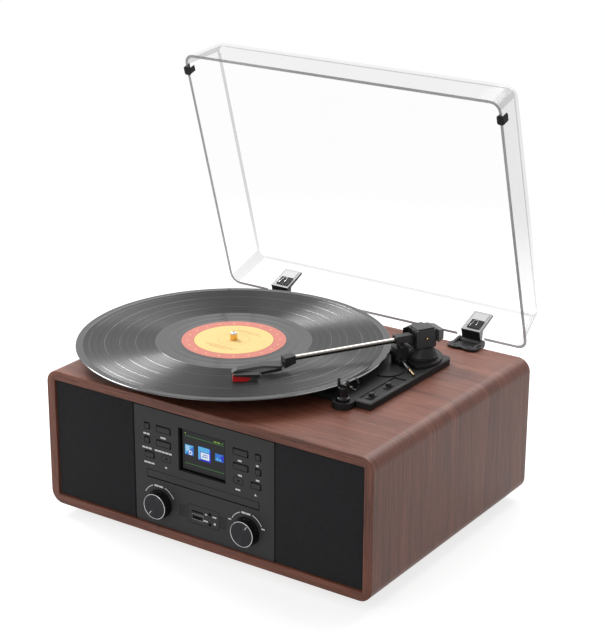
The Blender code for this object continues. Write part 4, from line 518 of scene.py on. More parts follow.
# The socket insert is a plate of the same plastic, let into the face. It holds a memory-stick socket with a
# pressed nickel can, a card slot and two round sockets with black sleeves.
JACKS = ((0.0073, 0.0468), (0.0073, 0.0363))
JACK_OUTER, JACK_INNER = 0.0019, 0.0014
JACK_PROUD, JACK_DEPTH = 0.0002, 0.0040
INSIDE_FRONT, INSIDE_BACK = 0.0030, 0.0036
CAN_MIDDLE = (-0.0069, 0.0397)
CAN_WIDTH, CAN_HEIGHT = 0.0130, 0.0055
CAN_SHEET = 0.0003
TONGUE_WIDTH, TONGUE_HEIGHT = 0.0112, 0.0018
TONGUE_FRONT, CAN_DEPTH = 0.0012, 0.0060
SATIN_BLACK = moulded("satin_black", (0.009, 0.009, 0.0095), 0.42, Specular_IOR_Level=0.4)
NICKEL = moulded("socket_can_nickel", (0.36, 0.36, 0.37), 0.35, Metallic=1.0)


def oblong(width, height, centre=(0.0, 0.0)):
    """The corners of a rectangle about its middle."""
    across, up = centre
    return rectangle(across - width / 2, across + width / 2, up - height / 2, up + height / 2)


def pipe(outer, inner, low, high, axis="Z"):
    """A ring between two outlines, from one level to another."""
    return loft([(outer, low), (outer, high), (inner, high), (inner, low)], axis, closed=True)


def refined(node, material, carrier, edge):
    """A piece with a CAD node's own shape and softened edges."""
    return piece(f"{node}_finished", shape_of(node), material, carrier, AS_PACKED, (node,), edge)


refined("socket_block", FACE_PLASTIC, "cabinet", 0.0002)
for number, spot in enumerate(JACKS, 1):
    sleeve = pipe(circle(JACK_OUTER, spot, 32), circle(JACK_INNER, spot, 32), panel_front - JACK_PROUD,
                  panel_front + JACK_DEPTH, "Y")
    piece(f"jack_{number}_sleeve", sleeve, SATIN_BLACK, "cabinet", edge=0.0001)
    # A near-black disc deep in each socket is painted shade for the dark hole.
    inside = slab(circle(JACK_INNER, spot, 32), panel_front + INSIDE_FRONT, panel_front + INSIDE_BACK, "Y")
    piece(f"jack_{number}_inside", inside, PAINTED_GAP_SHADE, "cabinet")
tongue = slab(oblong(TONGUE_WIDTH, TONGUE_HEIGHT, (CAN_MIDDLE[0], CAN_MIDDLE[1] + TONGUE_HEIGHT / 2)),
              panel_front + TONGUE_FRONT, panel_front + CAN_DEPTH, "Y")
piece("memory_socket_tongue", tongue, FACE_PLASTIC, "cabinet", edge=0.0001)
can = pipe(oblong(CAN_WIDTH, CAN_HEIGHT, CAN_MIDDLE),
           oblong(CAN_WIDTH - 2 * CAN_SHEET, CAN_HEIGHT - 2 * CAN_SHEET, CAN_MIDDLE),
           panel_front + CAN_SHEET, panel_front + CAN_DEPTH, "Y")
piece("memory_socket_can", can, NICKEL, "cabinet")


# The disc drawer's front is a flush bar in the face plastic, and its tray and runners slide behind it.
# The front stops short of its opening below and at the right, where the dark inside shows.
DRAWER_SHADOW = 0.0007
FRONT_BLOCK = 0.0030
EDGE_REACH = 0.0005


def front_block(node, body):
    """The corners at a piece's front, and the left, right, low and high edges there."""
    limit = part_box(node)[0].y + FRONT_BLOCK
    front = [corner for corner in body.verts if corner.co.y < limit]
    across, up = [corner.co.x for corner in front], [corner.co.z for corner in front]
    return front, min(across), max(across), min(up), max(up)


tray = shape_of("disc_drawer")
front, left, right, low, high = front_block("disc_drawer", tray)
for corner in front:
    corner.co.z += DRAWER_SHADOW if corner.co.z < low + EDGE_REACH else 0.0
    corner.co.x -= DRAWER_SHADOW / 2 if corner.co.x > right - EDGE_REACH else 0.0
piece("disc_drawer_tray", tray, FACE_PLASTIC, "drawer", AS_PACKED, ("disc_drawer",), 0.0003)


# Twelve push buttons in the face plastic fill their openings but for a gap at the top and right, where the
# dark inside shows. The two dimpled ones fill theirs, with a near-black dot in the middle: painted shade for
# the hole.
BUTTON_GAP = 0.0014
DOT_RADIUS = 0.0008
DOT_BACK, DOT_FRONT = 0.0001, 0.00008
for node in sorted(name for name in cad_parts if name.startswith("button_")):
    cap = shape_of(node)
    front, left, right, low, high = front_block(node, cap)
    dimpled = "dimple" in node
    if not dimpled:
        for corner in front:
            corner.co.x -= BUTTON_GAP * (corner.co.x - left) / (right - left)
            corner.co.z -= BUTTON_GAP * (corner.co.z - low) / (high - low)
    piece(f"{node}_cap", cap, FACE_PLASTIC, node, AS_PACKED, (node,), 0.0003)
    if dimpled:
        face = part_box(node)[0].y
        spot = ((left + right) / 2, (low + high) / 2)
        # The dot is painted shade for the hole in the dimple.
        dot = slab(circle(DOT_RADIUS, spot, 24), face - DOT_FRONT, face + DOT_BACK, "Y")
        piece(f"{node}_dot", dot, PAINTED_GAP_SHADE, node, AS_PACKED)


# Each speaker grille is black woven cloth stretched over a frame with rounded edges.
# The weave is plain, about two threads to the millimetre.
GRILLE_ROUND = 0.0014
GRILLE_CORNER = 0.0022
ROUND_STEPS = 4
THREAD_PITCH = 0.00055
CLOTH_RELIEF = 0.00025


def waves(tree, distance, pitch):
    """A mask that rises and falls once in each pitch."""
    return maths(tree, "SINE", maths(tree, "MULTIPLY", distance, 2 * math.pi / pitch))


cloth, tree, shader = blank("grille_cloth", (0.008, 0.008, 0.009), 0.9, Sheen_Weight=0.08,
                            Sheen_Roughness=0.5, Specular_IOR_Level=0.2)
place = on_piece(tree)
axes = add(tree, "ShaderNodeSeparateXYZ", Vector=place).outputs
weave = maths(tree, "MULTIPLY", waves(tree, axes["X"], THREAD_PITCH), waves(tree, axes["Z"], THREAD_PITCH))
speckle = noise(tree, place, 1400.0, 2.0)
slub = noise(tree, place, 160.0, 3.0)
raised = maths(tree, "ADD", maths(tree, "MULTIPLY", weave, 0.35), speckle)
tone = weighed(tree, (raised, 0.7), (slub, 0.3))
drive(shader, Base_Color=tint(tree, tone, (0.001, 0.001, 0.0015), (0.026, 0.026, 0.030)),
      Normal=bumped(tree, raised, CLOTH_RELIEF, 0.9))
for node in ("grille_left", "grille_right"):
    low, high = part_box(node)
    centre = box_middle(node, "xz")
    wide, tall = (high.x - low.x) / 2, (high.z - low.z) / 2
    rings = []
    for step in range(ROUND_STEPS + 1):
        turn = math.pi / 2 * step / ROUND_STEPS
        inset = GRILLE_ROUND * (1 - math.sin(turn))
        level = low.y + GRILLE_ROUND * (1 - math.cos(turn))
        rings.append((rounded_box(wide - inset, tall - inset, GRILLE_CORNER - inset, centre), level))
    rings.append((rounded_box(wide, tall, GRILLE_CORNER, centre), high.y))
    piece(f"{node}_cloth", loft(rings, "Y"), cloth, "cabinet", AS_PACKED, (node,))


# Behind each grille sits a speaker with a pressed steel basket.
# It has a paper cone with a soft surround and a dust cap.
CONE_PROFILE = [(0.033, 0.0002), (0.031, -0.0006), (0.029, 0.0002), (0.012, 0.0040), (0.010, 0.0030),
                (0.006, 0.0014), (0.0002, 0.0008), (0.0002, 0.0060), (0.012, 0.0056), (0.029, 0.0012),
                (0.033, 0.0010)]
CONE_BEHIND_RIM = 0.0010
PAPER = moulded("cone_paper", (0.012, 0.012, 0.012), 0.85, scale=500.0)
for side in ("left", "right"):
    node = f"speaker_{side}"
    basket = moulded(f"speaker_basket_{side}", (0.05, 0.05, 0.052), 0.45, Metallic=0.6)
    refined(node, basket, "cabinet", 0.0003)
    x, z = box_middle(node, "xz")
    at_cone = Matrix.Translation((x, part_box(node)[0].y + CONE_BEHIND_RIM, z))
    piece(f"{node}_cone", turned(CONE_PROFILE, "Y", steps=48), PAPER, "cabinet", at_cone, angle=50.0)


# The screen is a glossy black glass with a lit picture behind it: two green rules and three plain tiles.
# Nothing on it is a word or a known sign. The picture's shapes lie in thin layers, one over the other.
GLASS_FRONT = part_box("display")[0].y - CABINET.translation.y - 0.00006
LAYER = 0.00005
PICTURE_ROW = 0.0006
PICTURE_EDGES = (-0.0226, 0.0223, 0.0861, 0.1209)
SCREEN_LEFT, SCREEN_RIGHT = PICTURE_EDGES[:2]
PICTURE_COLOURS = {"dark": (0.010, 0.010, 0.012), "green": (0.060, 0.26, 0.045),
                   "yellow_green": (0.30, 0.48, 0.04), "deep_blue": (0.015, 0.035, 0.62),
                   "middle_blue": (0.030, 0.17, 0.62), "sky_blue": (0.10, 0.45, 0.82),
                   "white": (0.80, 0.86, 0.92)}
RULE_Z = (0.1169, 0.0900)
RULE_HALF = 0.00018
LEFT_TILE = (-0.0222, -0.0124, 0.0985, 0.1083)
LEFT_RING = (-0.0160, 0.1010)
RIGHT_TILE = (0.0118, 0.0213, 0.1006, 0.1078)
RIGHT_COLUMNS = ((0.0126, 0.1032), (0.0142, 0.1044), (0.0158, 0.1028), (0.0174, 0.1036))
glass = moulded("screen_glass", (0.002, 0.002, 0.0025), 0.10, depth=0.000002, Specular_IOR_Level=0.22)
refined("display", glass, "cabinet", 0.0002)


def lit(name, colour):
    """A lit part of the screen's picture, with faint picture lines."""
    material, tree, shader = blank(name, (0.002, 0.002, 0.002), 0.3, Emission_Strength=1.0,
                                   Specular_IOR_Level=0.2)
    height = add(tree, "ShaderNodeSeparateXYZ", Vector=on_piece(tree)).outputs["Z"]
    lines = between(tree, waves(tree, height, PICTURE_ROW), 0.0, 1.0)
    drive(shader, Emission_Color=tint(tree, lines, [0.82 * channel for channel in colour], colour))
    return material


PICTURE = {name: lit(f"picture_{name}", colour) for name, colour in PICTURE_COLOURS.items()}


def flat_marks(name, outlines, front, back, material):
    """Thin shapes that face the front."""
    piece(name, gather(*(slab(outline, front, back, "Y") for outline in outlines)), material, "cabinet")


def on_glass(name, colour, layer, *outlines):
    """Flat lit shapes just in front of the glass."""
    flat_marks(name, outlines, GLASS_FRONT - LAYER * layer, GLASS_FRONT, PICTURE[colour])


on_glass("screen_picture", "dark", 1, rectangle(*PICTURE_EDGES))
on_glass("screen_rules", "green", 2, *(rectangle(SCREEN_LEFT + 0.0004, SCREEN_RIGHT - 0.0006, z - RULE_HALF,
                                                 z + RULE_HALF) for z in RULE_Z))
on_glass("screen_marks", "yellow_green", 2,
         *(oblong(0.0011, 0.0012, (x, 0.1186)) for x in (0.0112, 0.0128, 0.0150, 0.0166)),
         oblong(0.0010, 0.0010, (-0.0217, 0.1192)))
on_glass("screen_level", "green", 3, [(0.0186, 0.1182), (0.0206, 0.1182), (0.0206, 0.1200)])
left, right, low, high = LEFT_TILE
on_glass("left_tile", "middle_blue", 2, rectangle(*LEFT_TILE))
on_glass("left_tile_light", "sky_blue", 3, [(left, low), (left, high), (right, high)])
on_glass("left_tile_ring", "white", 4, circle(0.0021, LEFT_RING, 24))
on_glass("left_tile_ring_middle", "middle_blue", 5, circle(0.0011, LEFT_RING, 24))
on_glass("left_tile_rules", "white", 4,
         *(oblong(0.0040, 0.0007, (-0.0192, z)) for z in (0.1066, 0.1049, 0.1032)))
on_glass("middle_tile", "deep_blue", 2, rounded_box(0.0070, 0.0067, 0.0008, (-0.0003, 0.1032), 3))
on_glass("middle_tile_light", "sky_blue", 3, rectangle(-0.0072, 0.0055, 0.1052, 0.1098),
         rectangle(-0.0072, -0.0050, 0.0972, 0.1052))
on_glass("middle_tile_panel", "white", 4, rounded_box(0.0048, 0.0032, 0.0005, (0.0004, 0.1014), 3))
on_glass("middle_tile_bars", "middle_blue", 5,
         *(oblong(0.0056, 0.0008, (0.0008, z)) for z in (0.1027, 0.1007)))
on_glass("middle_tile_dot", "sky_blue", 5, circle(0.0008, (-0.0026, 0.1003), 16))
left, right, low, high = RIGHT_TILE
on_glass("right_tile", "middle_blue", 2, rectangle(*RIGHT_TILE))
on_glass("right_tile_dark", "deep_blue", 3, [(right, low), (right, high), (0.0164, (low + high) / 2)])
on_glass("right_tile_columns", "sky_blue", 4,
         *(rectangle(x, x + 0.0010, 0.1010, z) for x, z in RIGHT_COLUMNS))


# White marks are printed on the face under the buttons, and an arc over each knob.
# They are plain bars, dots and one triangle, and say nothing.
PRINT_BACK, PRINT_THICKNESS = 0.00002, 0.00006
PRINT_WHITE = moulded("white_print", (0.80, 0.80, 0.80), 0.5, spread=0.03)
BAR_HEIGHT = 0.0016
STROKE_WIDTH, STROKE_GAP = 0.0042, 0.0002
BARS = ((-0.0642, 0.1092, 0.0078), (-0.0640, 0.0951, 0.0114), (-0.0616, 0.0807, 0.0122),
        (-0.0449, 0.1092, 0.0060), (-0.0450, 0.0951, 0.0200), (-0.0422, 0.0803, 0.0022),
        (0.0414, 0.1090, 0.0042), (0.0415, 0.0948, 0.0042), (0.0391, 0.0803, 0.0054),
        (0.0606, 0.1090, 0.0028), (0.0608, 0.0949, 0.0038))
EJECT_MARK = [(0.0570, 0.0792), (0.0598, 0.0792), (0.0584, 0.0816)]
KNOBS = {"tuning_knob": (-0.0505, 0.0419, 234.0), "volume_knob": (0.0485, 0.0419, 57.0)}
ARC_RADIUS = 0.0185
ARC_WIDTH = 0.0007
ARC_SPANS = ((152.0, 114.0), (70.0, 28.0))


def printed(name, *outlines):
    """Thin shapes printed on the control face."""
    back = panel_front - PRINT_BACK
    flat_marks(name, outlines, back - PRINT_THICKNESS, back, PRINT_WHITE)


def bow(centre, radius, width, start, stop, steps=16):
    """A curved stroke between two angles in degrees."""
    turns = [math.radians(start + (stop - start) * step / steps) for step in range(steps + 1)]
    outer, inner = ([(centre[0] + reach * math.cos(turn), centre[1] + reach * math.sin(turn))
                     for turn in turns] for reach in (radius + width / 2, radius - width / 2))
    return outer + inner[::-1]


marks = []
for x, z, wide in BARS:
    strokes = max(1, round(wide / STROKE_WIDTH))
    share = wide / strokes
    gap = STROKE_GAP if strokes > 1 else 0.0
    for number in range(strokes):
        spot = (x - wide / 2 + share * (number + 0.5), z)
        marks.append(rounded_box(share / 2 - gap, BAR_HEIGHT / 2, 0.0003, spot, 3))
printed("button_marks", *marks, EJECT_MARK)
printed("socket_marks", oblong(0.0024, 0.0013, (0.0030, 0.0454)), oblong(0.0044, 0.0013, (0.0126, 0.0451)),
        oblong(0.0052, 0.0013, (0.0024, 0.0387)), oblong(0.0022, 0.0022, (0.0128, 0.0384)))
for node, (x, z, pointer) in KNOBS.items():
    strokes = [bow((x, z), ARC_RADIUS, ARC_WIDTH, *span) for span in ARC_SPANS]
    strokes += [oblong(0.0050, 0.0017, (x - 0.0033, z + 0.0175)),
                oblong(0.0046, 0.0017, (x + 0.0020, z + 0.0174))]
    if node == "volume_knob":
        strokes += [oblong(0.0034, 0.0013, (x - 0.0188, z + 0.0070)),
                    oblong(0.0038, 0.0013, (x + 0.0180, z + 0.0068))]
    printed(f"{node}_scale", *strokes)


# Each knob is a glossy black moulding with a bright turned ring and a dark spun-metal disc let into its face.
# A short white line on the disc shows its setting. A steel stem joins the knob to the board behind.
KNOB_RADIUS = 0.0124
SKIRT_RADIUS = 0.0138
KNOB_FRONT = -0.0066
SKIRT_BACK = 0.0017
STEM_RADIUS, STEM_END = 0.0030, 0.0086
POCKET_RADIUS, POCKET_FLOOR = 0.0104, KNOB_FRONT + 0.0035
SKIRT_PROFILE = [(SKIRT_RADIUS - 0.0003, SKIRT_BACK), (SKIRT_RADIUS, SKIRT_BACK - 0.0003),
                 (SKIRT_RADIUS - 0.0002, SKIRT_BACK - 0.0014), (KNOB_RADIUS + 0.0006, SKIRT_BACK - 0.0034),
                 (KNOB_RADIUS + 0.0001, KNOB_FRONT + 0.0012), (KNOB_RADIUS - 0.0002, KNOB_FRONT + 0.0006),
                 (POCKET_RADIUS, KNOB_FRONT + 0.0006), (POCKET_RADIUS, POCKET_FLOOR),
                 (STEM_RADIUS, POCKET_FLOOR), (STEM_RADIUS, SKIRT_BACK)]
RING_PROFILE = [(KNOB_RADIUS - 0.0002, 0.0006), (KNOB_RADIUS, 0.0003), (KNOB_RADIUS - 0.0003, 0.0),
                (KNOB_RADIUS - 0.0006, 0.0001), (KNOB_RADIUS - 0.0008, 0.0004),
                (KNOB_RADIUS - 0.0008, 0.0007)]
DISC_RADIUS = KNOB_RADIUS - 0.00085
DISC_PROFILE = [(DISC_RADIUS, KNOB_FRONT + 0.0009), (DISC_RADIUS, KNOB_FRONT + 0.0004),
                (0.0002, KNOB_FRONT + 0.00055), (0.0002, KNOB_FRONT + 0.0009)]
POINTER_LINE = (0.0066, 0.0104, -0.00035, 0.00035)
LINE_FRONT, LINE_BACK = KNOB_FRONT + 0.00030, KNOB_FRONT + 0.00052
spun, tree, shader = blank("spun_metal", (0.030, 0.030, 0.032), 0.36, Metallic=1.0, Anisotropic=1.0,
                           Anisotropic_Rotation=0.25)
scratches = noise(tree, on_piece(tree), 1600.0, 2.0)
drive(shader, Tangent=add(tree, "ShaderNodeTangent", {"direction_type": "RADIAL", "axis": "Y"}).outputs[0],
      Base_Color=tint(tree, scratches, (0.022, 0.022, 0.024), (0.046, 0.046, 0.050)),
      Roughness=between(tree, scratches, 0.30, 0.46))
RING_BRIGHT = moulded("knob_ring_bright", (0.50, 0.50, 0.51), 0.16, depth=0.000002, spread=0.04, Metallic=1.0)
KNOB_BLACK = moulded("knob_black", (0.004, 0.004, 0.0045), 0.20, depth=0.00001, Specular_IOR_Level=0.3)
for node, (x, z, pointer) in KNOBS.items():
    at_knob = CABINET @ Matrix.Translation((x, 0.0, z))
    piece(f"{node}_body", turned(SKIRT_PROFILE, "Y"), KNOB_BLACK, node, at_knob, (node,), 0.0001)
    stem = turned([(STEM_RADIUS, SKIRT_BACK), (STEM_RADIUS, STEM_END)], "Y", steps=24)
    piece(f"{node}_stem", stem, STEEL, node, at_knob)
    rings = [(circle(radius), KNOB_FRONT + level) for radius, level in RING_PROFILE]
    piece(f"{node}_ring", loft(rings, "Y", closed=True), RING_BRIGHT, node, at_knob)
    piece(f"{node}_disc", turned(DISC_PROFILE, "Y"), spun, node, at_knob)
    line = slab(rectangle(*POINTER_LINE), LINE_FRONT, LINE_BACK, "Y")
    line.transform(Matrix.Rotation(math.radians(-pointer), 4, "Y"))
    piece(f"{node}_line", line, PRINT_WHITE, node, at_knob)


# Inside the cabinet are two circuit boards of green laminate and the disc drive in its steel case.
# The motor hangs under the deck, and its brass pulley drives the platter by a rubber belt.
BRASS = moulded("polished_brass", (0.80, 0.50, 0.16), 0.20, depth=0.000004, spread=0.08, Metallic=1.0)
laminate, tree, shader = blank("circuit_board", (0.02, 0.10, 0.04), 0.35)
cells = add(tree, "ShaderNodeTexVoronoi", {"distance": "MANHATTAN"}, Scale=180.0, Vector=on_piece(tree))
tracks = between(tree, cells.outputs["Distance"], 0.0, 1.0)
drive(shader, Base_Color=tint(tree, tracks, (0.012, 0.060, 0.025), (0.060, 0.190, 0.080)),
      Roughness=between(tree, tracks, 0.30, 0.45))
refined("control_board", laminate, "cabinet", 0.0)
refined("main_board", laminate, "cabinet", 0.0)
refined("disc_drive", moulded("drive_case", (0.10, 0.10, 0.11), 0.42, Metallic=0.7), "cabinet", 0.0003)
refined("motor", moulded("motor_can", (0.42, 0.42, 0.44), 0.34, spread=0.12, Metallic=1.0), "cabinet", 0.0006)
refined("motor_pulley", BRASS, "pulley", 0.0001)
refined("drive_belt", RUBBER, "cabinet", 0.0)


# The back is a black fibreboard with a round power inlet, held by six steel screws.
# Each screw head is a low dome with a cross slot.
SCREW_PLACES = [(x, z) for z in (0.030, 0.127) for x in (-0.160, 0.0, 0.160)]
SCREW_RADIUS = 0.0032
SCREW_PROFILE = [(SCREW_RADIUS, -0.0002), (SCREW_RADIUS, 0.0006), (SCREW_RADIUS * 0.7, 0.0014),
                 (0.0004, 0.0017)]
SLOT_LENGTH, SLOT_WIDTH = 0.0034, 0.0008
SLOT_FLOOR, SLOT_OPEN, SLOT_STEP = 0.0006, 0.0030, 0.0001
REAR_BOARD = moulded("rear_board", (0.016, 0.015, 0.014), 0.70, scale=420.0, depth=0.00008, spread=0.35)
refined("rear_panel", REAR_BOARD, "cabinet", 0.0003)
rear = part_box("rear_panel")[1].y - CABINET.translation.y
for number, spot in enumerate(SCREW_PLACES, 1):
    head = turned([(radius, rear + level) for radius, level in SCREW_PROFILE], "Y", spot, 32)
    slots = (slab(oblong(SLOT_LENGTH, SLOT_WIDTH, spot), rear + SLOT_FLOOR, rear + SLOT_OPEN, "Y"),
             slab(oblong(SLOT_WIDTH, SLOT_LENGTH, spot), rear + SLOT_FLOOR + SLOT_STEP,
                  rear + SLOT_OPEN + SLOT_STEP, "Y"))
    piece(f"rear_screw_{number}", carve(head, *slots), STEEL, "cabinet")


# The record is pressed vinyl with a raised rim, grooved bands, smooth gaps between tracks and a smooth
# run-out. Grooves are rings, so they catch the lamps as two bright fans.
RECORD_RADIUS = 0.1505
HOLE_RADIUS = 0.0036
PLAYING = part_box("record")[1].z
GROOVE_FLOOR = -0.00012
BAND_EDGE, BAND_LIP = 0.00015, -0.00004
BANDS = ((0.0750, 0.0932), (0.0938, 0.1087), (0.1090, 0.1225), (0.1232, 0.1376), (0.1380, 0.1436))
AT_SPINDLE = CABINET @ Matrix.Translation(SPINDLE)
RIM_PROFILE = [(HOLE_RADIUS, -0.0016), (0.1497, -0.0016), (0.1503, -0.0012), (RECORD_RADIUS, -0.0008),
               (0.1503, -0.0003), (0.1497, 0.0), (0.1478, 0.0), (0.1462, -0.00008), (0.1440, GROOVE_FLOOR)]
RUN_OUT_PROFILE = [(0.0725, -0.00008), (0.0640, -0.0001), (0.0636, -0.00014), (0.0632, -0.0001),
                   (0.0560, -0.0001), (0.0556, -0.00014), (0.0552, -0.0001), (HOLE_RADIUS, -0.0001)]


def vinyl_finish(name, colour, low, high, depth, **plain):
    """Black vinyl with rings of varying sheen and fine ring-shaped relief about the spindle's axis."""
    material, tree, shader = blank(name, colour, (low + high) / 2, **plain)
    shift = vectors(tree, "SUBTRACT", on_piece(tree), tuple(AT_SPINDLE.translation))["Vector"]
    reach = vectors(tree, "LENGTH", vectors(tree, "MULTIPLY", shift, (1.0, 1.0, 0.0))["Vector"])["Value"]
    lines, bands = (add(tree, "ShaderNodeTexNoise", {"noise_dimensions": "1D"}, W=reach, Scale=scale,
                        Detail=detail).outputs[0] for scale, detail in ((2600.0, 3.0), (330.0, 4.0)))
    both = weighed(tree, (lines, 0.55), (bands, 0.45))
    dark, light = [0.5 * channel for channel in colour], [1.7 * channel for channel in colour]
    drive(shader, Base_Color=tint(tree, both, dark, light),
          Roughness=between(tree, both, low, high, 0.35, 0.65), Normal=bumped(tree, lines, depth, 0.5))
    return material, tree, shader


grooved, tree, shader = vinyl_finish("vinyl_grooves", (0.005, 0.005, 0.0055), 0.44, 0.58, 0.000012,
                                     Anisotropic=1.0, Anisotropic_Rotation=0.25, Specular_IOR_Level=0.75)
drive(shader, Tangent=add(tree, "ShaderNodeTangent", {"direction_type": "RADIAL", "axis": "Z"}).outputs[0])
smooth_vinyl = vinyl_finish("vinyl_smooth", (0.012, 0.012, 0.0125), 0.12, 0.20, 0.000004,
                            Specular_IOR_Level=0.9)[0]
profile = list(RIM_PROFILE)
for inner, outer in reversed(BANDS):
    profile += [(outer + BAND_EDGE, BAND_LIP), (outer, GROOVE_FLOOR), (inner, GROOVE_FLOOR),
                (inner - BAND_EDGE, BAND_LIP)]
disc = turned([(radius, PLAYING + level) for radius, level in profile + RUN_OUT_PROFILE], steps=288)
for face in disc.faces:
    spot = face.calc_center_median()
    in_band = any(inner < math.hypot(spot.x, spot.y) < outer for inner, outer in BANDS)
    face.material_index = 0 if in_band and face.normal.z > 0.5 else 1
piece("record_vinyl", disc, (grooved, smooth_vinyl), "platter_group", AT_SPINDLE, ("record",), angle=20.0)


# The record's paper label is coral with a plain yellow middle, a thin brown ring and a ring of dots.
# It is pressed into the vinyl. Its marks are plain bars, dots and rings.
LABEL_RADIUS, MIDDLE_RADIUS = 0.0500, 0.0382
MIDDLE_LAP = 0.0012
LABEL_BASE, LABEL_TOP = PLAYING - 0.0002, PLAYING + 0.00004
LABEL_RINGS = ((0.0380, 0.0384), (0.0150, 0.0152))
DOT_CIRCLE, DOT_COUNT, DOT_SIZE = 0.0441, 20, 0.0009
LABEL_RULES = ((0.034, 0.0210), (0.026, 0.0240), (0.036, -0.0205), (0.030, -0.0232), (0.020, -0.0259))


def ink(name, colour):
    """Printed uncoated paper with a faint fibre."""
    return moulded(name, colour, 0.62, scale=1500.0, depth=0.00001, spread=0.06, Specular_IOR_Level=0.3)


def ring(inner, outer, low, high):
    """A flat ring."""
    return pipe(circle(outer, steps=128), circle(inner, steps=128), low, high)


def on_label(name, material, *bodies):
    """A part of the label, which turns with the record."""
    piece(name, gather(*bodies), material, "platter_group", AT_SPINDLE)


CORAL = ink("label_coral", (0.52, 0.175, 0.14))
YELLOW = ink("label_yellow", (0.70, 0.50, 0.20))
BROWN = ink("label_brown", (0.25, 0.10, 0.04))
on_label("label_paper", CORAL, ring(MIDDLE_RADIUS - MIDDLE_LAP, LABEL_RADIUS, LABEL_BASE, LABEL_TOP))
on_label("label_middle", YELLOW, ring(HOLE_RADIUS, MIDDLE_RADIUS, LABEL_BASE, LABEL_TOP + 0.00002))
on_label("label_ring", BROWN, *(ring(inner, outer, PLAYING, LABEL_TOP + 0.00004)
                                for inner, outer in LABEL_RINGS))
on_label("label_dots", YELLOW, *(slab(circle(DOT_SIZE, spot, 16), PLAYING, LABEL_TOP + 0.00003)
                                 for spot in circle(DOT_CIRCLE, steps=DOT_COUNT)))
on_label("label_rules", BROWN, *(slab(oblong(wide, 0.0005, (0.0, y)), PLAYING, LABEL_TOP + 0.00005)
                                 for wide, y in LABEL_RULES))


# The spindle is turned brass with a rounded, polished steel tip. It runs through the record into the bearing.
# Under the record lie a rubber mat and the platter, an aluminium casting painted black.
SHAFT_RADIUS, NECK_RADIUS = 0.0035, 0.0032
TIP_PROFILE = [(0.0032, -0.0021), (0.0033, -0.0014), (0.0029, -0.0006), (0.0020, -0.0001), (0.0002, 0.0)]
spindle_low, spindle_high = (corner.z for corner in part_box("spindle"))
shaft = turned([(SHAFT_RADIUS, spindle_low), (SHAFT_RADIUS, spindle_high - 0.0022),
                (NECK_RADIUS, spindle_high - 0.0019)], steps=40)
piece("spindle_shaft", shaft, BRASS, "platter_group", AT_SPINDLE, ("spindle",))
tip = turned([(radius, spindle_high + level) for radius, level in TIP_PROFILE], steps=40)
piece("spindle_tip", tip, STEEL, "platter_group", AT_SPINDLE)
refined("platter", moulded("platter_black", (0.012, 0.012, 0.013), 0.35, spread=0.2), "platter_group", 0.0002)
MAT = moulded("platter_mat", (0.010, 0.010, 0.010), 0.9, scale=1500.0, depth=0.0001, spread=0.4,
              Sheen_Weight=0.2)
refined("platter_mat", MAT, "platter_group", 0.0001)


# The deck is one black moulding with a fine spark texture.
# The stepped tonearm base and its cue tower are screwed on it. The lift bar rises and falls in the tower.
DECK_BLACK = moulded("deck_black", (0.0085, 0.0085, 0.0085), 0.48, scale=1500.0, depth=0.00005,
                     Specular_IOR_Level=0.25)
BASE_BLACK = moulded("base_black", (0.006, 0.006, 0.0062), 0.42, Specular_IOR_Level=0.25)
refined("deck_plate", DECK_BLACK, "cabinet", 0.0004)
refined("tonearm_base", BASE_BLACK, "cabinet", 0.0004)
refined("lift_platform", SATIN_BLACK, "lift_platform", 0.0003)


# The two slide switches are small black shutters, each with a square, round-cornered post.
# They slide front to back on the deck.
SHUTTER_HALF_WIDTH, SHUTTER_HALF_LENGTH = 0.0026, 0.0060
SHUTTER_THICKNESS, SHUTTER_CORNER = 0.0006, 0.0006
POST_FOOT, POST_NECK, POST_TOP = 0.0023, 0.0022, 0.0016
POST_CORNER, TOP_CORNER = 0.0009, 0.0007
TOP_ROUND = 0.0006
for node in ("speed_switch", "auto_stop_switch"):
    low, high = (corner.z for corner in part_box(node))
    centre = box_middle(node, "xy")
    shutter = slab(rounded_box(SHUTTER_HALF_WIDTH, SHUTTER_HALF_LENGTH, SHUTTER_CORNER, centre, 4), low,
                   low + SHUTTER_THICKNESS)
    post = loft([(rounded_box(POST_FOOT, POST_FOOT, POST_CORNER, centre, 5), low + SHUTTER_THICKNESS),
                 (rounded_box(POST_NECK, POST_NECK, POST_CORNER, centre, 5), high - TOP_ROUND),
                 (rounded_box(POST_TOP, POST_TOP, TOP_CORNER, centre, 5), high)])
    piece(f"{node}_post", gather(shutter, post), SATIN_BLACK, node, AS_PACKED, (node,))


# The cue lever is a brass rod with a thick black sleeve over its inner two thirds.
# It turns in the cue tower and lifts the bar under the tonearm.
ARM_PIVOT = (0.104, 0.209, 0.0)
ARM_TURN = math.radians(-29.7)
ARM = CABINET @ Matrix.Translation(ARM_PIVOT) @ Matrix.Rotation(ARM_TURN, 4, "Z")
SLEEVE_END = 0.0235
DULL_BRASS = moulded("dull_brass", (0.24, 0.18, 0.11), 0.34, depth=0.000004, spread=0.1, Metallic=1.0)
lever = shape_of("cue_lever")
lever.transform(ARM.inverted())
for face in lever.faces:
    face.material_index = 1 if face.calc_center_median().x > SLEEVE_END else 0
piece("cue_lever_rod", lever, (SATIN_BLACK, DULL_BRASS), "cue_lever", ARM, ("cue_lever",), 0.0002)


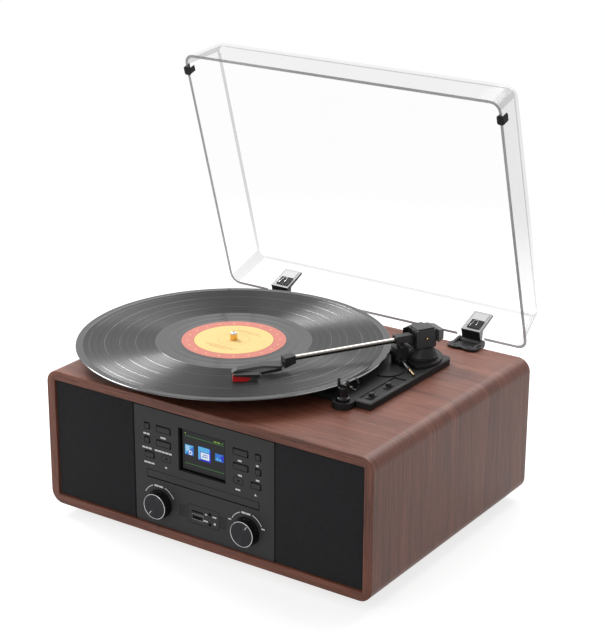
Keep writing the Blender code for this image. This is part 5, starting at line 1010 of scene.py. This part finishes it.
# The tonearm's housing is a black moulding with a pebbled cap, and it turns on the base.
# The arm tilts in it on pointed brass screws. A dark grey weight behind balances the arm.
ARM_AXIS = PLAYING + 0.0133
HOUSING_ROOF = PLAYING + 0.0225
CAP_OUTLINE = rectangle(-0.0073, 0.0073, -0.0093, 0.0083)
CAP_TOP_OUTLINE = rectangle(-0.0069, 0.0069, -0.0089, 0.0079)
SCREW_TIP = [(0.0008, 0.0093), (0.0008, 0.0095), (0.0004, 0.0096)]
PEBBLE = moulded("pebbled_cap", (0.022, 0.022, 0.022), 0.55, scale=2200.0, depth=0.0003, spread=0.5)
WEIGHT_GREY = moulded("weight_grey", (0.060, 0.060, 0.061), 0.45, scale=1600.0, spread=0.15)
refined("tonearm_yoke", SATIN_BLACK, "arm_housing", 0.0004)
cap = loft([(CAP_OUTLINE, HOUSING_ROOF), (CAP_OUTLINE, HOUSING_ROOF + 0.0003),
            (CAP_TOP_OUTLINE, HOUSING_ROOF + 0.0005)])
piece("housing_cap_top", cap, PEBBLE, "arm_housing", ARM)
refined("arm_carrier", SATIN_BLACK, "arm", 0.0004)
piece("pivot_screw", turned(SCREW_TIP, "X", (0.0, ARM_AXIS), 20), BRASS, "arm", ARM)
refined("counterweight", WEIGHT_GREY, "arm", 0.0003)


# The tube is chromed steel. Its colour is painted dark underneath and bright on top: a painted reflection of
# the black record below and the room above.
# The carrier grips one end and the head shell's collar the other.
TUBE_RADIUS = 0.0025
TUBE_FRONT, TUBE_BACK = -0.1395, -0.0250
chrome, tree, shader = blank("tube_chrome", (0.50, 0.49, 0.47), 0.18, Metallic=1.0)
normal = add(tree, "ShaderNodeNewGeometry").outputs["Normal"]
facing_up = add(tree, "ShaderNodeSeparateXYZ", Vector=normal).outputs["Z"]
# Painted reflection: faces that look down are coloured dark and faces that look up bright.
upper = between(tree, facing_up, 0.0, 1.0, 0.15, 0.98, "SMOOTHSTEP")
drive(shader, Base_Color=tint(tree, upper, (0.040, 0.036, 0.032), (0.52, 0.49, 0.45)),
      Roughness=between(tree, noise(tree, on_piece(tree), 700.0, 2.0), 0.14, 0.24))
tube = turned([(TUBE_RADIUS, TUBE_FRONT), (TUBE_RADIUS, TUBE_BACK)], "Y", (0.0, ARM_AXIS), 48)
piece("tonearm_tube_chrome", tube, chrome, "arm", ARM, ("tonearm_tube",))


# The head shell is a glossy black moulding on the end of the tube.
# The cartridge clips under it and carries the red stylus moulding.
SHELL_BLACK = moulded("head_shell_black", (0.010, 0.010, 0.011), 0.30, Specular_IOR_Level=0.45)
refined("head_shell", SHELL_BLACK, "arm", 0.0004)
refined("cartridge", SATIN_BLACK, "arm", 0.0003)
refined("stylus", moulded("stylus_red", (0.52, 0.010, 0.014), 0.34, spread=0.1), "arm", 0.0002)


# The arm rest is a black post with two round prongs, standing in a glossy ring on the deck.
# Its hooked wire clip turns in a lug at the side and swings over the parked arm.
REST_LEVEL = 0.1473
REST_TURN = math.radians(-2.94)
REST = CABINET @ Matrix.Translation((0.0975, 0.0825, REST_LEVEL)) @ Matrix.Rotation(REST_TURN, 4, "Z")
REST_BOTTOM, REST_TOP = (corner.z - REST_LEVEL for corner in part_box("arm_rest"))
POST_RADIUS = 0.0048
PRONG_RADIUS = 0.0014
PRONG_X = 0.0048
SADDLE_DEPTH, SADDLE_LOW, SADDLE_HIGH = 0.0030, 0.0185, 0.0212
LUG_OUTLINE = rectangle(0.0030, 0.0086, 0.0190, 0.0202)
LUG_FRONT, LUG_BACK = 0.0017, 0.0026
HUB_PLACE, HUB_RADIUS, HUB_HALF = (0.0082, 0.0196), 0.0015, 0.0014
BALL_ROUTE, BALL_RADIUS = [(0.0147, 0.0, 0.0294), (0.0143, 0.0, 0.0297)], 0.0012
WIRE_RADIUS = 0.0008
STAND_PROFILE = [(0.0066, REST_BOTTOM), (0.0066, REST_BOTTOM + 0.0022), (0.0061, REST_BOTTOM + 0.0029),
                 (0.0054, REST_BOTTOM + 0.0030), (POST_RADIUS, REST_BOTTOM + 0.0038), (POST_RADIUS, 0.0182),
                 (POST_RADIUS - 0.0006, 0.0190)]
HOOK_ROUTE = [(0.0082, 0.0, 0.0196), (0.0106, 0.0, 0.0190), (0.0140, 0.0, 0.0191), (0.0160, 0.0, 0.0205),
              (0.0166, 0.0, 0.0232), (0.0166, 0.0, 0.0262), (0.0158, 0.0, 0.0284), (0.0146, 0.0, 0.0296)]
GLOSS_BLACK = moulded("gloss_black", (0.007, 0.007, 0.008), 0.22, depth=0.00001, Specular_IOR_Level=0.35)


def rod(points, radius, steps=16):
    """A round wire with rounded ends, bent through points."""
    spots = [Vector(point) for point in points]
    body = bmesh.new()
    loops = []
    for number, spot in enumerate(spots):
        before, after = spots[max(number - 1, 0)], spots[min(number + 1, len(spots) - 1)]
        facing = (after - before).normalized().to_track_quat("Z", "Y").to_matrix()
        sizes = [(0.0, radius)]
        if number == 0:
            sizes = [(-0.9 * radius, 0.3 * radius), (-0.5 * radius, 0.85 * radius), (0.0, radius)]
        if number == len(spots) - 1:
            sizes = [(0.0, radius), (0.5 * radius, 0.85 * radius), (0.9 * radius, 0.3 * radius)]
        for shift, reach in sizes:
            outline = circle(reach, steps=steps)
            loops.append([body.verts.new(spot + facing @ Vector((a, b, shift))) for a, b in outline])
    return skin(body, loops)


stand = turned(STAND_PROFILE, steps=48)
saddle = slab(oblong(2 * PRONG_X, SADDLE_DEPTH), SADDLE_LOW, SADDLE_HIGH)
prongs = [rod([(x, 0.0, 0.0186), (x, 0.0, 0.0225), (x, 0.0, REST_TOP - 0.0013)], PRONG_RADIUS)
          for x in (-PRONG_X, PRONG_X)]
lug = slab(LUG_OUTLINE, LUG_FRONT, LUG_BACK, "Y")
post = gather(stand, saddle, *prongs, lug)
piece("arm_rest_post", post, GLOSS_BLACK, "cabinet", REST, ("arm_rest",), 0.0002)
clip_hub = slab(circle(HUB_RADIUS, HUB_PLACE, 20), -HUB_HALF, HUB_HALF, "Y")
clip_ball = rod(BALL_ROUTE, BALL_RADIUS)
hook = gather(rod(HOOK_ROUTE, WIRE_RADIUS), clip_hub, clip_ball)
piece("arm_clip_hook", hook, GLOSS_BLACK, "arm_clip", REST, ("arm_clip",))


# The lid is one clear acrylic moulding. Its outer faces carry a faint grey veil that shows only from outside,
# stronger on
# the end walls: a painted sheen. Its bends and its rim are drawn in denser grey: painted light caught in the
# acrylic.
# Two rubber bumpers sit on the rim, where it lands on the cabinet.
HINGE_AXIS = (0.287, 0.1485)
LID_TURN = math.radians(-73.5)
LID = CABINET @ Matrix.Translation((0.0, *HINGE_AXIS)) @ Matrix.Rotation(LID_TURN, 4, "X")
LID_MIDDLE = Vector((0.0, -0.1395, 0.020))
RIM_HEIGHT = 0.004
CLEAR = (0.060, 0.060, 0.060)
OUTER, INNER, CORNER, RIM, SIDE = range(5)


def acrylic(name, colour, outside, inside, roughness):
    """Clear plastic: a grey veil of one strength from outside and another from inside, a painted sheen, with
    faint smears.
    """
    material, tree, shader = blank(name, colour, roughness)
    smear = noise(tree, on_piece(tree), 9.0, 3.0)
    painted_veil = between(tree, add(tree, "ShaderNodeNewGeometry").outputs["Backfacing"], outside, inside)
    drive(shader, Alpha=maths(tree, "MULTIPLY", painted_veil, between(tree, smear, 0.8, 1.2)),
          Roughness=between(tree, smear, roughness * 0.8, roughness * 1.2),
          Base_Color=tint(tree, smear, [channel * 0.96 for channel in colour], colour))
    return material


# Painted light: the veil on the outer and side faces is sheen, the corners' denser grey stands for light at
# the bends, and the rim's grey for light in its edge.
lid_faces = (acrylic("acrylic_outer", CLEAR, 0.13, 0.010, 0.06),
             acrylic("acrylic_inner", CLEAR, 0.010, 0.010, 0.06),
             acrylic("acrylic_corner", CLEAR, 0.34, 0.34, 0.10),
             acrylic("acrylic_rim", (0.33, 0.33, 0.345), 0.90, 0.90, 0.30),
             acrylic("acrylic_side", CLEAR, 0.235, 0.010, 0.06))
lid_body = shape_of("lid")
lid_body.transform(LID.inverted())
lid_body.normal_update()
for face in lid_body.faces:
    spot, way = face.calc_center_median(), face.normal
    straight = max(abs(way.x), abs(way.y), abs(way.z)) > 0.97
    if way.z < -0.8 and spot.z < RIM_HEIGHT:
        face.material_index = RIM
    elif way.dot(spot - LID_MIDDLE) > 0:
        face.material_index = SIDE if abs(way.x) > 0.8 else OUTER
    else:
        face.material_index = INNER if straight else CORNER
lid = piece("lid_acrylic", lid_body, lid_faces, "lid", LID, ("lid",))
lid.visible_shadow = False
for side in ("left", "right"):
    refined(f"lid_bumper_{side}", RUBBER, "lid", 0.0003)


# Each hinge has a black scalloped foot screwed to the cabinet, with an ear at each end of its pin.
# A grey plate inside the lid's back wall turns on the pin. A black catch and a spring wire sit on the plate.
HINGE_X = 0.1135
HINGE_BASE, HINGE_FACE = 0.1473, 0.1498
HINGE_HALF = 0.0152
HINGE_FLARE = 0.0012
HINGE_FRONT, HINGE_SHOULDER, HINGE_BACK = 0.2652, 0.2740, 0.2818
SCALLOP, SCALLOP_STEPS = 0.0022, 48
EAR_INNER, EAR_OUTER = 0.0107, 0.0138
EAR_RADIUS = 0.0042
EAR_FRONT, EAR_BASE = 0.2700, HINGE_BASE + 0.0002
PIN_RADIUS, PIN_HALF = 0.0015, 0.0136
SCREW_X, SCREW_Y = 0.0076, 0.2705
HINGE_SCREW = [(0.0021, HINGE_FACE - 0.0002), (0.0021, HINGE_FACE + 0.0003), (0.0012, HINGE_FACE + 0.0008),
               (0.0003, HINGE_FACE + 0.0009)]
PLATE_FOOT, PLATE_MIDDLE, PLATE_END = 0.0040, 0.0160, 0.0300
SPRING_ROUTE = [(-0.0030, -0.0100, 0.0016), (-0.0014, -0.0010, 0.0018), (0.0022, -0.0010, 0.0018),
                (0.0030, -0.0036, 0.0018), (0.0030, -0.0080, 0.0017)]
SPRING_WIRE = 0.00040
PANEL_OUTLINE = rounded_box(0.0078, 0.0098, 0.0010, (0.0, 0.0020), 4)
PANEL_THICKNESS = 0.00035
CATCH_OUTLINE = rounded_box(0.0068, 0.0062, 0.0006, (0.0012, -0.0052), 4)
CATCH_LOW, CATCH_HIGH = 0.0002, 0.0012
PLATE_GREY = moulded("hinge_plate_grey", (0.36, 0.36, 0.365), 0.42, spread=0.06)
PANEL_GREY = moulded("hinge_panel_grey", (0.50, 0.50, 0.505), 0.42, spread=0.06)
SCREW_BLACK = moulded("blackened_screw", (0.030, 0.030, 0.030), 0.35, Metallic=0.8)


def hinge_foot(middle_x):
    """The foot with its scalloped front edge, its two ears and the pin between them."""
    outline = []
    for step in range(SCALLOP_STEPS + 1):
        across = -HINGE_HALF + 2 * HINGE_HALF * step / SCALLOP_STEPS
        scallop = SCALLOP * (1 - abs(math.sin(2 * math.pi * step / SCALLOP_STEPS)))
        outline.append((middle_x + across, HINGE_FRONT + scallop))
    outline += [(middle_x + HINGE_HALF + HINGE_FLARE, HINGE_SHOULDER), (middle_x + HINGE_HALF, HINGE_BACK),
                (middle_x - HINGE_HALF, HINGE_BACK), (middle_x - HINGE_HALF - HINGE_FLARE, HINGE_SHOULDER)]
    bodies = [slab(outline, HINGE_BASE, HINGE_FACE)]
    turns = [math.radians(angle) for angle in range(-110, 91, 10)]
    ear = [(HINGE_AXIS[0] + EAR_RADIUS * math.cos(turn), HINGE_AXIS[1] + EAR_RADIUS * math.sin(turn))
           for turn in turns]
    ear += [(HINGE_SHOULDER, HINGE_FACE + 0.0010), (EAR_FRONT, HINGE_FACE - 0.0004),
            (EAR_FRONT, EAR_BASE), (HINGE_BACK, EAR_BASE)]
    for end in (-1, 1):
        bodies.append(slab(ear, *sorted((middle_x + end * EAR_INNER, middle_x + end * EAR_OUTER)), "X"))
    pin = slab(circle(PIN_RADIUS, HINGE_AXIS, 24), middle_x - PIN_HALF, middle_x + PIN_HALF, "X")
    return gather(*bodies, pin)


def hinge_plate(node, middle_x):
    """The plate, cut to length, and the place of the leaf's face with its normal up."""
    plate = shape_of(node)
    plate.transform(LID.inverted())
    plate.normal_update()
    leaf = max((face for face in plate.faces if face.normal.y < -0.8), key=lambda face: face.calc_area())
    across = Vector((1.0, 0.0, 0.0))
    out = leaf.normal.copy()
    along = out.cross(across)
    spot = leaf.calc_center_median()
    spot += along * ((PLATE_MIDDLE - spot.z) / along.z)
    leaf_turn = Matrix((across, along, out)).transposed().to_4x4()
    cut = bmesh.ops.bisect_plane(plate, geom=[*plate.verts, *plate.edges, *plate.faces],
                                 plane_co=(0.0, 0.0, PLATE_END), plane_no=(0.0, 0.0, 1.0), clear_outer=True)
    open_edges = [item for item in cut["geom_cut"] if isinstance(item, bmesh.types.BMEdge)]
    bmesh.ops.contextual_create(plate, geom=open_edges)
    for face in plate.faces:
        face.material_index = 0 if face.calc_center_median().z > PLATE_FOOT else 1
    return plate, LID @ Matrix.Translation((middle_x, spot.y, spot.z)) @ leaf_turn


for side, middle_x in (("left", -HINGE_X), ("right", HINGE_X)):
    foot = hinge_foot(middle_x)
    piece(f"hinge_foot_{side}", foot, SATIN_BLACK, "cabinet", CABINET, (f"hinge_base_{side}",), 0.0004)
    for number, across in enumerate((-SCREW_X, SCREW_X), 1):
        head = turned(HINGE_SCREW, centre=(middle_x + across, SCREW_Y), steps=24)
        piece(f"hinge_screw_{side}_{number}", head, SCREW_BLACK, "cabinet")
    plate, on_leaf = hinge_plate(f"hinge_arm_{side}", middle_x)
    piece(f"hinge_plate_{side}", plate, (PLATE_GREY, SATIN_BLACK), "lid", LID, (f"hinge_arm_{side}",), 0.0003)
    panel = slab(PANEL_OUTLINE, 0.0, PANEL_THICKNESS)
    piece(f"hinge_panel_{side}", panel, PANEL_GREY, "lid", on_leaf, edge=0.0001)
    catch = slab(CATCH_OUTLINE, CATCH_LOW, CATCH_HIGH)
    piece(f"hinge_catch_{side}", catch, GLOSS_BLACK, "lid", on_leaf, edge=0.0002)
    piece(f"hinge_spring_{side}", rod(SPRING_ROUTE, SPRING_WIRE, 10), STEEL, "lid", on_leaf)
